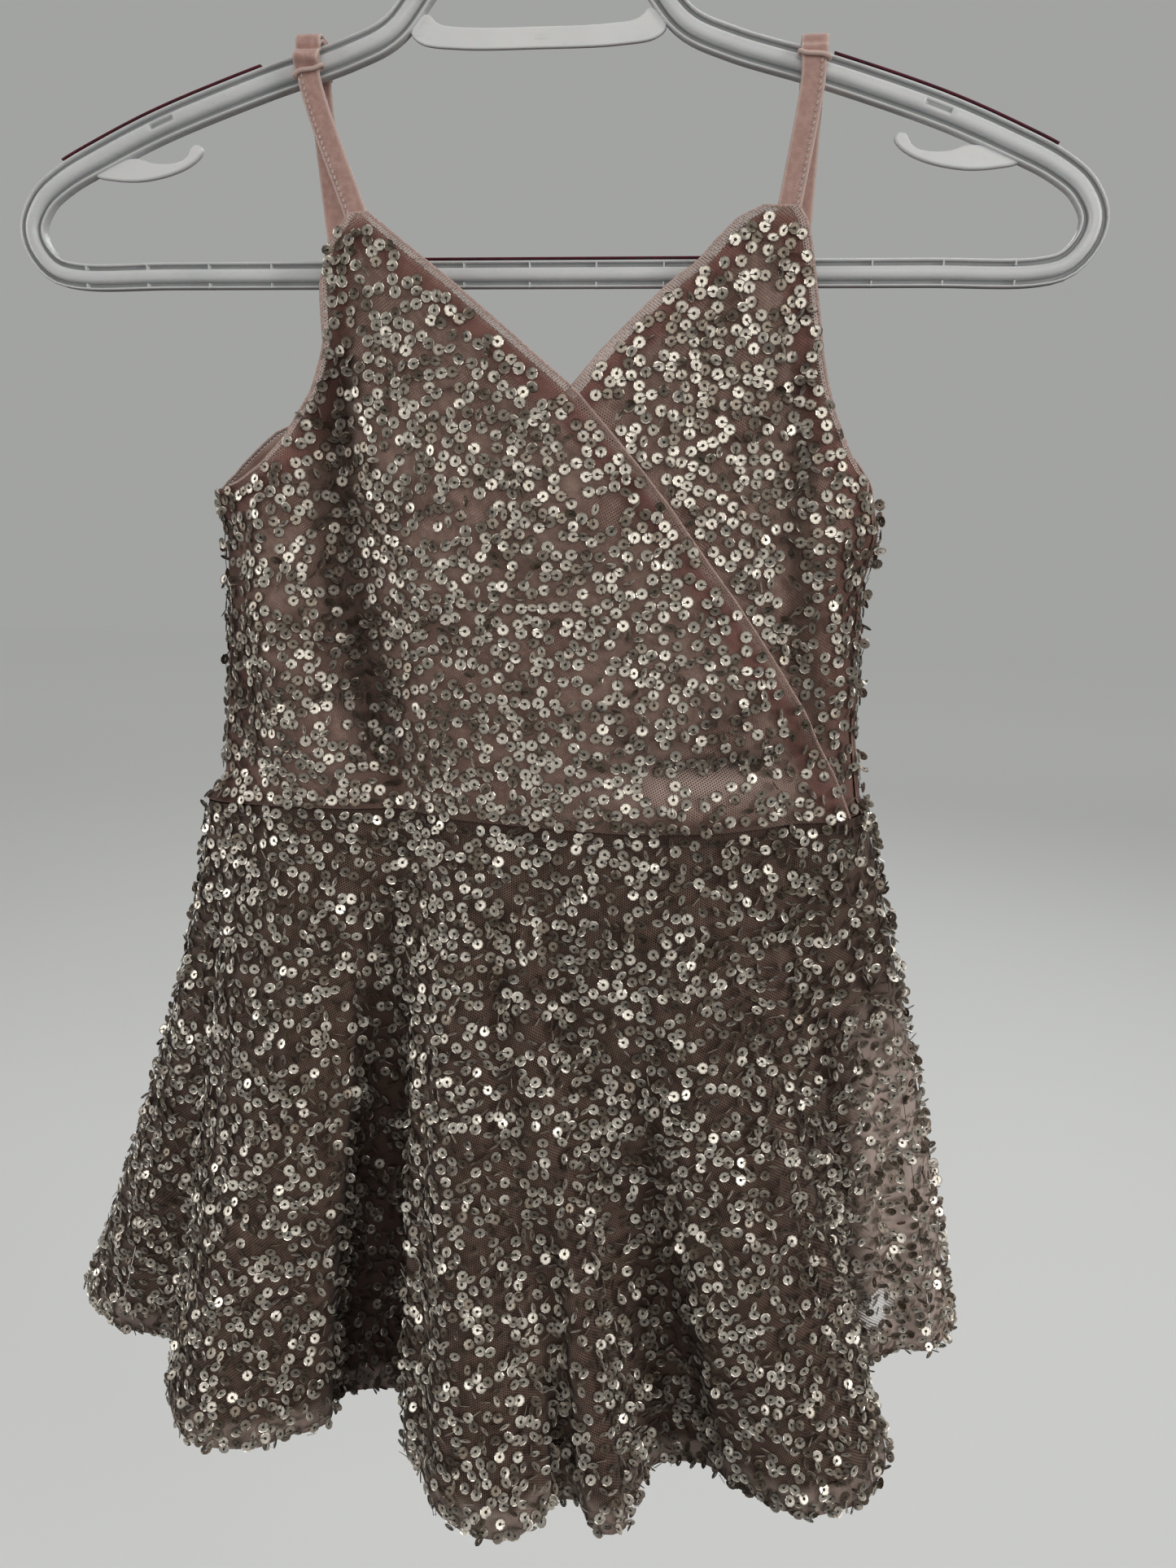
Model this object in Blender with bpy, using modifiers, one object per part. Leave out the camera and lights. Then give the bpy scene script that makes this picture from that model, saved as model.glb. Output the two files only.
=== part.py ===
import math

import bmesh
import bpy
import numpy as np

# Sizes in metres. The hanger lies in the XZ plane, its hook's seat at the origin, the front towards -Y.

WALL = 0.0015
SEAM_GAP = 0.0003
LAYER_STEP = 0.0014
PANEL_COLUMNS = 28
PANEL_ROWS = 21
BACK_COLUMNS = 36
BACK_ROWS = 11
SKIRT_COLUMNS = 68
SKIRT_ROWS = 11
FRAME_RUNS = 2
EDGE_ROUND = 0.8
RUN_STEPS = 24
LEFT_SEAM = math.radians(8.5)
RIGHT_SEAM = math.radians(171.5)
SEAM_TURN = math.radians(0.5)

STRAP_WIDTH = 0.0084
STRAP_WALL = 0.0013
STRAP_LIFT = 0.0024
STRAP_STATIONS = 34
RING_WIRE = 0.0006

ARM_HALF_DEPTH = 0.0038
FRAME_HALF_HEIGHT = 0.0055
ARM_SIZE = 0.93
WEB_THICKNESS = 0.0022
NOTCH_THICKNESS = 0.0030
GRIP_WIDTH = 0.0045
GRIP_WALL = 0.0008
BAR_TOP = -0.2093
HOOK_WIRE = 0.0036
HOOK_RADIUS = 0.0236

# The bodice's rings: height, left and right ends, depth to the front and to the back.
BODICE_RINGS = (
    ("z", "left", "right", "front", "back"),
    (-0.196, -0.1240, 0.1250, 0.0125, 0.0120),
    (-0.250, -0.1240, 0.1250, 0.0200, 0.0180),
    (-0.291, -0.1240, 0.1262, 0.0265, 0.0230),
    (-0.306, -0.1212, 0.1288, 0.0285, 0.0245),
    (-0.323, -0.1215, 0.1245, 0.0300, 0.0255),
    (-0.345, -0.1225, 0.1245, 0.0312, 0.0262),
    (-0.380, -0.1240, 0.1255, 0.0330, 0.0280),
    (-0.404, -0.1252, 0.1290, 0.0345, 0.0290),
    (-0.411, -0.1290, 0.1320, 0.0355, 0.0296),
    (-0.418, -0.1365, 0.1340, 0.0360, 0.0300),
)
# Upright folds of the bodice: place at the chest and at the waist, height where it starts, width, outward depth.
BODICE_FOLDS = (
    ("x_top", "x_waist", "z_top", "width", "depth"),
    (-0.074, -0.046, -0.225, 0.0150, -0.0075),
    (-0.098, -0.090, -0.270, 0.0120, 0.0030),
    (0.088, 0.104, -0.240, 0.0120, -0.0030),
    (0.100, 0.118, -0.265, 0.0110, 0.0026),
    (0.030, 0.050, -0.330, 0.0300, 0.0016),
)
# The waist seam of the front: where it lies across, and its height.
WAIST_LINE = (
    ("x", "z"),
    (-0.137, -0.4170),
    (-0.088, -0.4122),
    (-0.045, -0.4118),
    (0.000, -0.4136),
    (0.040, -0.4148),
    (0.075, -0.4140),
    (0.105, -0.4112),
    (0.134, -0.4095),
)
# Left front panel: height, armhole edge, crossing edge.
OVER_EDGES = (
    ("z", "outer", "inner"),
    (-0.1955, -0.0655, -0.0590),
    (-0.2060, -0.0735, -0.0455),
    (-0.2200, -0.0765, -0.0270),
    (-0.2400, -0.0765, -0.0020),
    (-0.2570, -0.0815, 0.0190),
    (-0.2740, -0.0905, 0.0345),
    (-0.2835, -0.0990, 0.0430),
    (-0.2890, -0.1090, 0.0475),
    (-0.2915, -0.1190, 0.0495),
    (-0.2935, -0.1400, 0.0515),
    (-0.3280, -0.1400, 0.0775),
    (-0.3700, -0.1400, 0.1030),
    (-0.3950, -0.1400, 0.1125),
    (-0.4180, -0.1400, 0.1185),
)
# Right front panel: height, crossing edge, armhole edge.
UNDER_EDGES = (
    ("z", "inner", "outer"),
    (-0.1935, 0.0815, 0.0935),
    (-0.1975, 0.0730, 0.0965),
    (-0.2050, 0.0655, 0.0985),
    (-0.2120, 0.0595, 0.0998),
    (-0.2190, 0.0500, 0.1010),
    (-0.2340, 0.0345, 0.1035),
    (-0.2430, 0.0258, 0.1050),
    (-0.2520, 0.0185, 0.1070),
    (-0.2620, 0.0100, 0.1098),
    (-0.2770, -0.0020, 0.1165),
    (-0.2850, -0.0085, 0.1215),
    (-0.2920, -0.0140, 0.1400),
    (-0.3280, -0.0420, 0.1400),
    (-0.3700, -0.0690, 0.1400),
    (-0.3950, -0.0800, 0.1400),
    (-0.4180, -0.0870, 0.1400),
)
# Top edge of the back: share of the way from the right seam to the left, height.
BACK_TOP = (
    ("share", "z"),
    (0.00, -0.2935),
    (0.05, -0.2890),
    (0.10, -0.2830),
    (0.15, -0.2750),
    (0.20, -0.2670),
    (0.28, -0.2615),
    (0.50, -0.2650),
    (0.72, -0.2615),
    (0.80, -0.2670),
    (0.85, -0.2750),
    (0.90, -0.2830),
    (0.95, -0.2890),
    (1.00, -0.2935),
)
# The hem, one row a turn of a fold, from the left seam across the front to the right seam, then across the back.
FRONT_HEM = (
    ("x", "y", "z", "flare"),
    (-0.1960, -0.0040, -0.6770, 1.22),
    (-0.1650, -0.0070, -0.6800, 1.22),
    (-0.1530, -0.0400, -0.6775, 1.22),
    (-0.1310, -0.0660, -0.6770, 1.22),
    (-0.1080, -0.0660, -0.6780, 1.22),
    (-0.0880, -0.0490, -0.6790, 1.15),
    (-0.0690, -0.0300, -0.6815, 1.15),
    (-0.0500, -0.0270, -0.6820, 1.15),
    (-0.0370, -0.0540, -0.6840, 1.15),
    (-0.0180, -0.0820, -0.6850, 1.15),
    (0.0080, -0.0860, -0.6860, 1.15),
    (0.0270, -0.0670, -0.6840, 1.15),
    (0.0470, -0.0750, -0.6860, 1.15),
    (0.0620, -0.0500, -0.6840, 1.15),
    (0.0740, -0.0440, -0.6830, 1.15),
    (0.1040, -0.0580, -0.6860, 1.15),
    (0.1300, -0.0620, -0.6860, 1.05),
    (0.1490, -0.0470, -0.6830, 1.05),
    (0.1535, -0.0210, -0.6790, 1.05),
    (0.1470, 0.0100, -0.6760, 0.92),
    (0.1660, 0.0260, -0.6720, 0.92),
    (0.1860, 0.0270, -0.6700, 0.92),
)
BACK_HEM = (
    ("x", "y", "z", "flare"),
    (0.1860, 0.0270, -0.6700, 0.92),
    (0.1965, 0.0450, -0.6640, 0.92),
    (0.1800, 0.0680, -0.6670, 0.92),
    (0.1500, 0.0560, -0.6750, 1.12),
    (0.1200, 0.0330, -0.6820, 1.12),
    (0.0940, 0.0600, -0.6780, 1.12),
    (0.0660, 0.0820, -0.6760, 1.12),
    (0.0380, 0.0660, -0.6790, 1.12),
    (0.0140, 0.0300, -0.6830, 1.12),
    (-0.0120, 0.0520, -0.6800, 1.12),
    (-0.0420, 0.0830, -0.6760, 1.12),
    (-0.0740, 0.0730, -0.6780, 1.12),
    (-0.1000, 0.0340, -0.6820, 1.12),
    (-0.1280, 0.0420, -0.6790, 1.12),
    (-0.1600, 0.0700, -0.6740, 1.22),
    (-0.1960, 0.0620, -0.6710, 1.22),
    (-0.2190, 0.0400, -0.6720, 1.22),
    (-0.2225, 0.0170, -0.6740, 1.22),
    (-0.1960, -0.0040, -0.6770, 1.22),
)

# Middle line of the hanger's right half, from its neck down the arm and round to the bar, and the size there.
FRAME_LINE = (
    ("x", "z", "size"),
    (0.0000, -0.0895, 0.90),
    (0.0130, -0.0925, 0.90),
    (0.0280, -0.1040, 0.90),
    (0.0412, -0.1208, 0.90),
    (0.0522, -0.1330, 0.91),
    (0.0683, -0.1400, 0.92),
    (0.1012, -0.1494, 0.93),
    (0.1400, -0.1622, 0.93),
    (0.1655, -0.1728, 0.92),
    (0.1808, -0.1803, 0.90),
    (0.1903, -0.1880, 0.88),
    (0.1944, -0.1965, 0.87),
    (0.1922, -0.2055, 0.86),
    (0.1865, -0.2115, 0.86),
    (0.1770, -0.2140, 0.86),
    (0.1400, -0.2140, 0.86),
    (0.0700, -0.2140, 0.86),
    (0.0000, -0.2140, 0.86),
)
# Frame profile: share of the half height and share of the half depth.
FRAME_PROFILE = (
    ("across", "deep"),
    (-1.00, 0.62),
    (-0.82, 0.78),
    (-0.70, 0.42),
    (-0.52, 0.84),
    (0.00, 1.00),
    (0.52, 0.84),
    (0.70, 0.42),
    (0.82, 0.78),
    (1.00, 0.62),
)
WEB_OUTLINE = (
    ("x", "z"),
    (-0.0454, -0.1340),
    (-0.0420, -0.1374),
    (-0.0280, -0.1394),
    (0.0000, -0.1398),
    (0.0280, -0.1394),
    (0.0420, -0.1374),
    (0.0454, -0.1340),
    (0.0396, -0.1280),
    (0.0355, -0.1312),
    (0.0236, -0.1327),
    (0.0000, -0.1330),
    (-0.0236, -0.1327),
    (-0.0355, -0.1312),
    (-0.0396, -0.1280),
)
# Small hook under the left arm, and the right one is its mirror image.
NOTCH_OUTLINE = (
    ("x", "z"),
    (-0.1674, -0.1798),
    (-0.1570, -0.1820),
    (-0.1440, -0.1816),
    (-0.1345, -0.1790),
    (-0.1265, -0.1752),
    (-0.1245, -0.1718),
    (-0.1250, -0.1698),
    (-0.1275, -0.1694),
    (-0.1295, -0.1722),
    (-0.1355, -0.1745),
    (-0.1435, -0.1754),
    (-0.1515, -0.1731),
)
STRAPS = (
    ("name", "arm_x", "arm_z", "ring_up", "ring_tilt",
     "front_x", "front_y", "front_z", "back_x", "back_y", "back_z"),
    ("left", -0.0815, -0.1436, -0.0034, 0.3,
     -0.0600, -0.0098, -0.2070, -0.0715, 0.0140, -0.2700),
    ("right", 0.0962, -0.1480, 0.0020, -0.2,
     0.0885, -0.0058, -0.2060, 0.0925, 0.0120, -0.2700),
)

COLOURS = {
    "bodice": (0.50, 0.37, 0.34, 1.0),
    "skirt": (0.40, 0.32, 0.29, 1.0),
    "strap": (0.60, 0.38, 0.35, 1.0),
    "plastic": (0.80, 0.82, 0.85, 1.0),
    "grip": (0.16, 0.02, 0.04, 1.0),
}


def columns(table):
    names = table[0]
    return {name: np.array([row[k] for row in table[1:]]) for k, name in enumerate(names)}


def at(table, key, name, value):
    data = columns(table)
    order = np.argsort(data[key])
    return np.interp(value, data[key][order], data[name][order])


def clear_file():
    for thing in list(bpy.data.objects):
        bpy.data.objects.remove(thing, do_unlink=True)


def new_collection(name):
    made = bpy.data.collections.new(name)
    bpy.context.scene.collection.children.link(made)
    return made


def material(name, colour, roughness):
    made = bpy.data.materials.new(name)
    made.use_nodes = True
    shader = made.node_tree.nodes["Principled BSDF"]
    shader.inputs["Base Color"].default_value = colour
    shader.inputs["Roughness"].default_value = roughness
    made.diffuse_color = colour
    return made


def curve_through(points, closed=False):
    """A curve through the given points, in RUN_STEPS short steps from each to the next."""
    given = np.asarray(points, float)
    if closed:
        padded = np.vstack([given[-1], given, given[0], given[1]])
    else:
        padded = np.vstack([2 * given[0] - given[1], given, 2 * given[-1] - given[-2]])
    dense = []
    for k in range(1, len(padded) - 2):
        before, start, end, after = padded[k - 1 : k + 3]
        knots = np.cumsum([0.0] + [
            max(np.linalg.norm(b - a), 1e-6) ** 0.5
            for a, b in ((before, start), (start, end), (end, after))
        ])
        t = np.linspace(knots[1], knots[2], RUN_STEPS, endpoint=False)[:, None]
        t0, t1, t2, t3 = knots
        a1 = (t1 - t) / (t1 - t0) * before + (t - t0) / (t1 - t0) * start
        a2 = (t2 - t) / (t2 - t1) * start + (t - t1) / (t2 - t1) * end
        a3 = (t3 - t) / (t3 - t2) * end + (t - t2) / (t3 - t2) * after
        b1 = (t2 - t) / (t2 - t0) * a1 + (t - t0) / (t2 - t0) * a2
        b2 = (t3 - t) / (t3 - t1) * a2 + (t - t1) / (t3 - t1) * a3
        dense.append((t2 - t) / (t2 - t1) * b1 + (t - t1) / (t2 - t1) * b2)
    dense.append(given[:1] if closed else given[-1:])
    return np.vstack(dense)


def smooth_through(points, count):
    """Points spaced evenly along a curve through the given ones."""
    return evenly(curve_through(points), np.linspace(0.0, 1.0, count))


def evenly(line, shares):
    """Points at the given shares of a polyline's length."""
    steps = np.linalg.norm(np.diff(line, axis=0), axis=1)
    along = np.concatenate([[0.0], np.cumsum(steps)])
    wanted = np.asarray(shares) * along[-1]
    return np.stack([np.interp(wanted, along, line[:, k]) for k in range(line.shape[1])], -1)


def edged(count):
    """Shares from 0 to 1, even but for one beside each end, which keeps a seam's two edges parallel."""
    return np.concatenate([[0.0], np.linspace(0.004, 0.996, count - 2), [1.0]])


def ring(angle, z):
    """A point of the bodice: angle 0 at the left end, 90 degrees in front, 180 at the right end, 270 behind."""
    left = at(BODICE_RINGS, "z", "left", z)
    right = at(BODICE_RINGS, "z", "right", z)
    half = (right - left) / 2
    x = (left + right) / 2 - half * np.cos(angle)
    side = np.sin(angle)
    front = at(BODICE_RINGS, "z", "front", z)
    back = at(BODICE_RINGS, "z", "back", z)
    y = -np.sign(side) * np.abs(side) ** EDGE_ROUND * np.where(side > 0, front, back)
    folds = columns(BODICE_FOLDS)
    for x_top, x_waist, z_top, width, depth in zip(*folds.values()):
        down = np.clip((z_top - z) / (z_top + 0.415), 0.0, 1.2)
        middle = x_top + (x_waist - x_top) * down
        grown = np.clip(down * 2.2, 0.0, 1.0)
        shape = np.exp(-(((x - middle) / width) ** 2)) * grown
        y = y - np.where(side > 0, np.clip(side * 2.0, 0.0, 1.0) * depth * shape, 0.0)
    return np.stack([x, y, z + 0.0 * x], -1)


def ring_angle(x, z):
    left = at(BODICE_RINGS, "z", "left", z)
    right = at(BODICE_RINGS, "z", "right", z)
    return np.arccos(np.clip(1 - 2 * (x - left) / (right - left), -1.0, 1.0))


def ring_normal(angle, z):
    e = 1e-4
    round_way = ring(angle + e, z) - ring(angle - e, z)
    up = ring(angle, z + e) - ring(angle, z - e)
    out = np.cross(round_way, up)
    return out / np.linalg.norm(out, axis=-1, keepdims=True)


def waist_height(x):
    return at(WAIST_LINE, "x", "z", x)


def grid_object(name, points, paint, collection, wall):
    """A sheet through a grid of points, thickened evenly about its middle."""
    rows, count = points.shape[:2]
    build = bmesh.new()
    corners = [[build.verts.new(p) for p in row] for row in points]
    for i in range(rows - 1):
        for j in range(count - 1):
            build.faces.new((corners[i][j], corners[i + 1][j], corners[i + 1][j + 1], corners[i][j + 1]))
    for face in build.faces:
        face.smooth = True
    mesh = bpy.data.meshes.new(name)
    build.to_mesh(mesh)
    build.free()
    made = bpy.data.objects.new(name, mesh)
    collection.objects.link(made)
    mesh.materials.append(paint)
    solid = made.modifiers.new("wall", "SOLIDIFY")
    solid.thickness = wall
    solid.offset = 0.0
    solid.use_even_offset = False
    return made


def front_panel(name, edges, first, second, out, paint, collection):
    """Rows across a front panel from its left edge to its right one, from its peak to the waist."""
    top = columns(edges)["z"].max()
    shares = np.linspace(0.0, 1.0, PANEL_ROWS) ** 1.12
    grid = []
    for share in shares:
        across = edged(PANEL_COLUMNS)
        z = top + (-0.413 - top) * share
        ends = [at(edges, "z", first, z), at(edges, "z", second, z)]
        for _ in range(3):
            a0 = np.maximum(ring_angle(ends[0], z), LEFT_SEAM)
            a1 = np.minimum(ring_angle(ends[1], z), RIGHT_SEAM)
            angle = a0 + (a1 - a0) * across
            x = ring(angle, z)[..., 0]
            z = top + (waist_height(x) + SEAM_GAP / 2 - top) * share
        grid.append(ring(angle, z) + ring_normal(angle, z) * out)
    return grid_object(name, np.array(grid), paint, collection, WALL)


def back_panel(name, paint, collection):
    first = RIGHT_SEAM + SEAM_TURN
    last = LEFT_SEAM - SEAM_TURN
    share = edged(BACK_COLUMNS)
    angle = first + (2 * np.pi + last - first) * share
    top = np.interp(share, columns(BACK_TOP)["share"], columns(BACK_TOP)["z"])
    grid = []
    for down in np.linspace(0.0, 1.0, BACK_ROWS):
        z = top + (-0.413 - top) * down
        for _ in range(3):
            x = ring(angle, z)[..., 0]
            z = top + (waist_height(x) + SEAM_GAP / 2 - top) * down
        grid.append(ring(angle, z))
    return grid_object(name, np.array(grid), paint, collection, WALL)


def waist_ring(turns):
    angle = np.asarray(turns)
    z = -0.413 + 0.0 * angle
    for _ in range(3):
        z = waist_height(ring(angle, z)[..., 0]) - SEAM_GAP / 2
    return ring(angle, z)


def hem_halves():
    """The front's and the back's share of the closed hem."""
    whole = curve_through(FRONT_HEM[1:] + BACK_HEM[2:-1], closed=True)
    seam = (len(FRONT_HEM) - 2) * RUN_STEPS
    return whole[: seam + 1], whole[seam:]


def skirt_panel(name, hem_line, start, end, paint, collection):
    """Straight runs from the waist seam to a hem with the folds' turns, flaring as they go down."""
    hem = evenly(hem_line, np.linspace(0, 1, 1200))
    waist = evenly(waist_ring(np.linspace(start, end, 400)), np.linspace(0, 1, 1200))
    grid = []
    for down in np.linspace(0.0, 1.0, SKIRT_ROWS + 1):
        line = waist + (hem[:, :3] - waist) * down
        line[:, :2] = waist[:, :2] + (hem[:, :2] - waist[:, :2]) * down ** hem[:, 3:]
        length = np.linalg.norm(np.diff(line, axis=0), axis=1).sum()
        trim = SEAM_GAP / 2 / length
        grid.append(evenly(line, trim + (1 - 2 * trim) * edged(SKIRT_COLUMNS)))
    return grid_object(name, np.array(grid), paint, collection, WALL)


def strap_reach():
    """How far the strap's middle stands from the arm's middle plane, with the ring between them."""
    return ARM_SIZE * ARM_HALF_DEPTH + 2 * RING_WIRE + 2 * SEAM_GAP + STRAP_WALL / 2


def strap(row, paint, collection):
    """A band from inside the front peak, over the arm and down to the back's edge."""
    reach = strap_reach()
    rise = ARM_SIZE * FRAME_HALF_HEIGHT + STRAP_WALL / 2 + STRAP_LIFT
    turns = [(-reach, -0.75 * rise), (-reach, 0.35 * rise), (-0.6 * reach, 0.92 * rise), (0.0, 1.08 * rise)]
    line = [(row["front_x"], row["front_y"], row["front_z"])]
    line += [(row["arm_x"], y, row["arm_z"] + h) for y, h in turns]
    line += [(row["arm_x"], -y, row["arm_z"] + h) for y, h in reversed(turns[:-1])]
    line += [(row["back_x"], row["back_y"], row["back_z"])]
    middle = smooth_through(line, STRAP_STATIONS)
    across = np.linspace(-0.5, 0.5, 3)[:, None] * np.array([STRAP_WIDTH, 0.0, 0.0])
    grid = np.array([point + across for point in middle])
    return grid_object(row["name"] + "_strap", grid, paint, collection, STRAP_WALL)


def curve_object(name, line, wire, paint, collection, cyclic=False, bevel=1):
    data = bpy.data.curves.new(name, "CURVE")
    data.dimensions = "3D"
    data.bevel_depth = wire
    data.bevel_resolution = bevel
    data.use_fill_caps = True
    spline = data.splines.new("POLY")
    spline.points.add(len(line) - 1)
    for k, point in enumerate(line):
        spline.points[k].co = (*point, 1.0)
    spline.use_cyclic_u = cyclic
    made = bpy.data.objects.new(name, data)
    collection.objects.link(made)
    data.materials.append(paint)
    return made


def flat_curve(name, outline, paint, collection, sizes=None):
    """A closed outline in the XZ plane."""
    data = bpy.data.curves.new(name, "CURVE")
    data.dimensions = "2D"
    spline = data.splines.new("POLY")
    spline.points.add(len(outline) - 1)
    for k, (x, z) in enumerate(outline):
        spline.points[k].co = (x, z, 0.0, 1.0)
        spline.points[k].radius = 1.0 if sizes is None else sizes[k]
    spline.use_cyclic_u = True
    made = bpy.data.objects.new(name, data)
    made.rotation_euler = (math.pi / 2, 0.0, 0.0)
    collection.objects.link(made)
    if paint:
        data.materials.append(paint)
    return made


def flat_plate(name, outline, thickness, paint, collection):
    """An outline filled and given a thickness."""
    made = flat_curve(name, outline, paint, collection)
    made.data.fill_mode = "BOTH"
    made.data.extrude = thickness / 2
    return made


def frame_object(name, paint, collection, hidden):
    """The frame's profile carried round its closed middle line."""
    half = np.array(FRAME_LINE[1:])
    left = half[-2:0:-1] * (-1.0, 1.0, 1.0)
    line = curve_through(np.vstack([half, left]), closed=True)[: -1 : RUN_STEPS // FRAME_RUNS]
    shape = np.array(FRAME_PROFILE[1:])
    full = np.vstack([shape, shape[::-1] * (1.0, -1.0)])
    full = full * (FRAME_HALF_HEIGHT, ARM_HALF_DEPTH)
    profile = flat_curve("frame_profile", full, None, hidden)
    profile.hide_render = True
    profile.hide_viewport = True
    made = flat_curve(name, line[:, :2], paint, collection, line[:, 2])
    made.data.bevel_mode = "OBJECT"
    made.data.bevel_object = profile
    made.data.fill_mode = "NONE"
    return made


def hook_object(name, paint, collection):
    r = HOOK_RADIUS
    seat = HOOK_WIRE - r
    stem = [(0.0, -0.0842), (0.0, -0.0680), (0.0035, -0.0560), (0.0140, -0.0430)]
    turn = [(r * math.cos(a), seat + r * math.sin(a)) for a in np.radians(np.linspace(-25, 195, 15))]
    line = smooth_through(stem + turn, 44)
    return curve_object(name, [(x, 0.0, z) for x, z in line], HOOK_WIRE, paint, collection, bevel=2)


def arm_top(x0, x1, count):
    half = smooth_through(np.array(FRAME_LINE[1:]), 400)
    keep = half[(half[:, 1] > -0.19)]
    tangent = np.gradient(keep[:, :2], axis=0)
    tangent /= np.linalg.norm(tangent, axis=1, keepdims=True)
    way = np.stack([-tangent[:, 1], tangent[:, 0]], -1)
    lift = FRAME_HALF_HEIGHT * keep[:, 2:3] + SEAM_GAP + GRIP_WALL / 2
    line = keep[:, :2] + way * lift
    x = np.linspace(x0, x1, count)
    return np.stack([x, np.interp(x, line[:, 0], line[:, 1])], -1)


def grip_object(name, line, paint, collection):
    across = np.linspace(-0.5, 0.5, 2)[::-1] * GRIP_WIDTH
    grid = np.array([[(x, y, z) for y in across] for x, z in line])
    return grid_object(name, grid, paint, collection, GRIP_WALL)


def ring_object(row, paint, collection):
    """A small wire ring round the strap where it hangs in front of the arm."""
    half = STRAP_WIDTH / 2 + RING_WIRE + SEAM_GAP
    deep = STRAP_WALL / 2 + RING_WIRE + SEAM_GAP
    line = []
    for a in np.linspace(0, 2 * np.pi, 16, endpoint=False) + np.pi / 16:
        c, s = math.cos(a), math.sin(a)
        line.append((
            row["arm_x"] + half * math.copysign(abs(c) ** 0.4, c),
            deep * math.copysign(abs(s) ** 0.4, s) - strap_reach(),
            row["arm_z"] + row["ring_up"] + row["ring_tilt"] * c * half,
        ))
    return curve_object(row["name"] + "_ring", line, RING_WIRE, paint, collection, cyclic=True)


def main():
    clear_file()
    dress = new_collection("sequined_dress")
    hidden = new_collection("profiles")
    bodice = material("bodice_cloth", COLOURS["bodice"], 0.6)
    skirt = material("skirt_cloth", COLOURS["skirt"], 0.6)
    band = material("strap_cloth", COLOURS["strap"], 0.6)
    plastic = material("hanger_plastic", COLOURS["plastic"], 0.35)
    strip = material("grip_rubber", COLOURS["grip"], 0.7)
    front_panel("front_over_panel", OVER_EDGES, "outer", "inner", LAYER_STEP, bodice, dress)
    front_panel("front_under_panel", UNDER_EDGES, "inner", "outer", -LAYER_STEP, bodice, dress)
    back_panel("back_bodice_panel", bodice, dress)
    front_hem, back_hem = hem_halves()
    skirt_panel("front_skirt_panel", front_hem, LEFT_SEAM, RIGHT_SEAM, skirt, dress)
    skirt_panel("back_skirt_panel", back_hem, RIGHT_SEAM, 2 * np.pi + LEFT_SEAM, skirt, dress)
    names = STRAPS[0]
    for values in STRAPS[1:]:
        row = dict(zip(names, values))
        strap(row, band, dress)
        ring_object(row, band, dress)
    frame_object("hanger_frame", plastic, dress, hidden)
    flat_plate("hanger_web", WEB_OUTLINE[1:], WEB_THICKNESS, plastic, dress)
    hook_object("hanger_hook", plastic, dress)
    flat_plate("left_notch", NOTCH_OUTLINE[1:], NOTCH_THICKNESS, plastic, dress)
    flat_plate("right_notch", [(-x, z) for x, z in NOTCH_OUTLINE[1:]], NOTCH_THICKNESS, plastic, dress)
    grip_object("left_grip", arm_top(0.1010, 0.1800, 16) * (-1, 1), strip, dress)
    grip_object("right_grip", arm_top(0.1030, 0.1800, 16), strip, dress)
    bar_top = BAR_TOP + SEAM_GAP + GRIP_WALL / 2
    grip_object("bar_grip", np.array([(x, bar_top) for x in np.linspace(-0.074, 0.095, 6)]), strip, dress)


main()
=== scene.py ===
import math
from itertools import product
import bpy
import numpy as np
from mathutils import Matrix, Vector, kdtree


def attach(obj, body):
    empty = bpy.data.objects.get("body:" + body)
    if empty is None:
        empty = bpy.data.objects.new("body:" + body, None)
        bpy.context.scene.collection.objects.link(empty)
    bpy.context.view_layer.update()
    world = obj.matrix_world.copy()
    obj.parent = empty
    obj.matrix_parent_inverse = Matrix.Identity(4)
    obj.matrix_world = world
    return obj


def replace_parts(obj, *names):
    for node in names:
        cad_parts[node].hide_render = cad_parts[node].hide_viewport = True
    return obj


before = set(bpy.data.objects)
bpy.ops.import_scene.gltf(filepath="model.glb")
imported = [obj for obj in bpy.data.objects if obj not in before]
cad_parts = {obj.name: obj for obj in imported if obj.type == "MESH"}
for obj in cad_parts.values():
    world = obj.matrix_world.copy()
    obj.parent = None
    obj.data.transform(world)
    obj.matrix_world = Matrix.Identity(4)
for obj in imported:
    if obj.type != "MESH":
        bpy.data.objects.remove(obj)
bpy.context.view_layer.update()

# Sizes in metres. The hanger lies in the XZ plane, its hook's seat at the origin, the front towards -Y.

# Camera: place, turn to the left, tilt down and roll, and focal length in pixels of the picture's height.
CAMERA_PLACE = (0.0777, -0.457, -0.296)
CAMERA_TURN = math.radians(6.86)
CAMERA_TILT = math.radians(13.3)
CAMERA_ROLL = math.radians(1.06)
CAMERA_FOCUS = 1447.0
PICTURE_HEIGHT = 1927.0
SENSOR = 36.0

SEAM_GAP = 0.0003
LAYER_STEP = 0.0014
LINING_WALL = 0.0006
NET_LIFT = 0.0006
TURN_LIFT = NET_LIFT + 0.0003
EDGE_ROUND = 0.8
RUN_STEPS = 24
LEFT_SEAM = math.radians(8.5)
RIGHT_SEAM = math.radians(171.5)
SEAM_TURN = math.radians(0.5)
WAIST_Z = -0.413
FOLDS_END_Z = -0.415
# Rows down and columns across of the cloth's grids.
FRONT_GRID = (90, 110)
BACK_GRID = (60, 130)
SKIRT_GRID = (64, 330)

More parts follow.
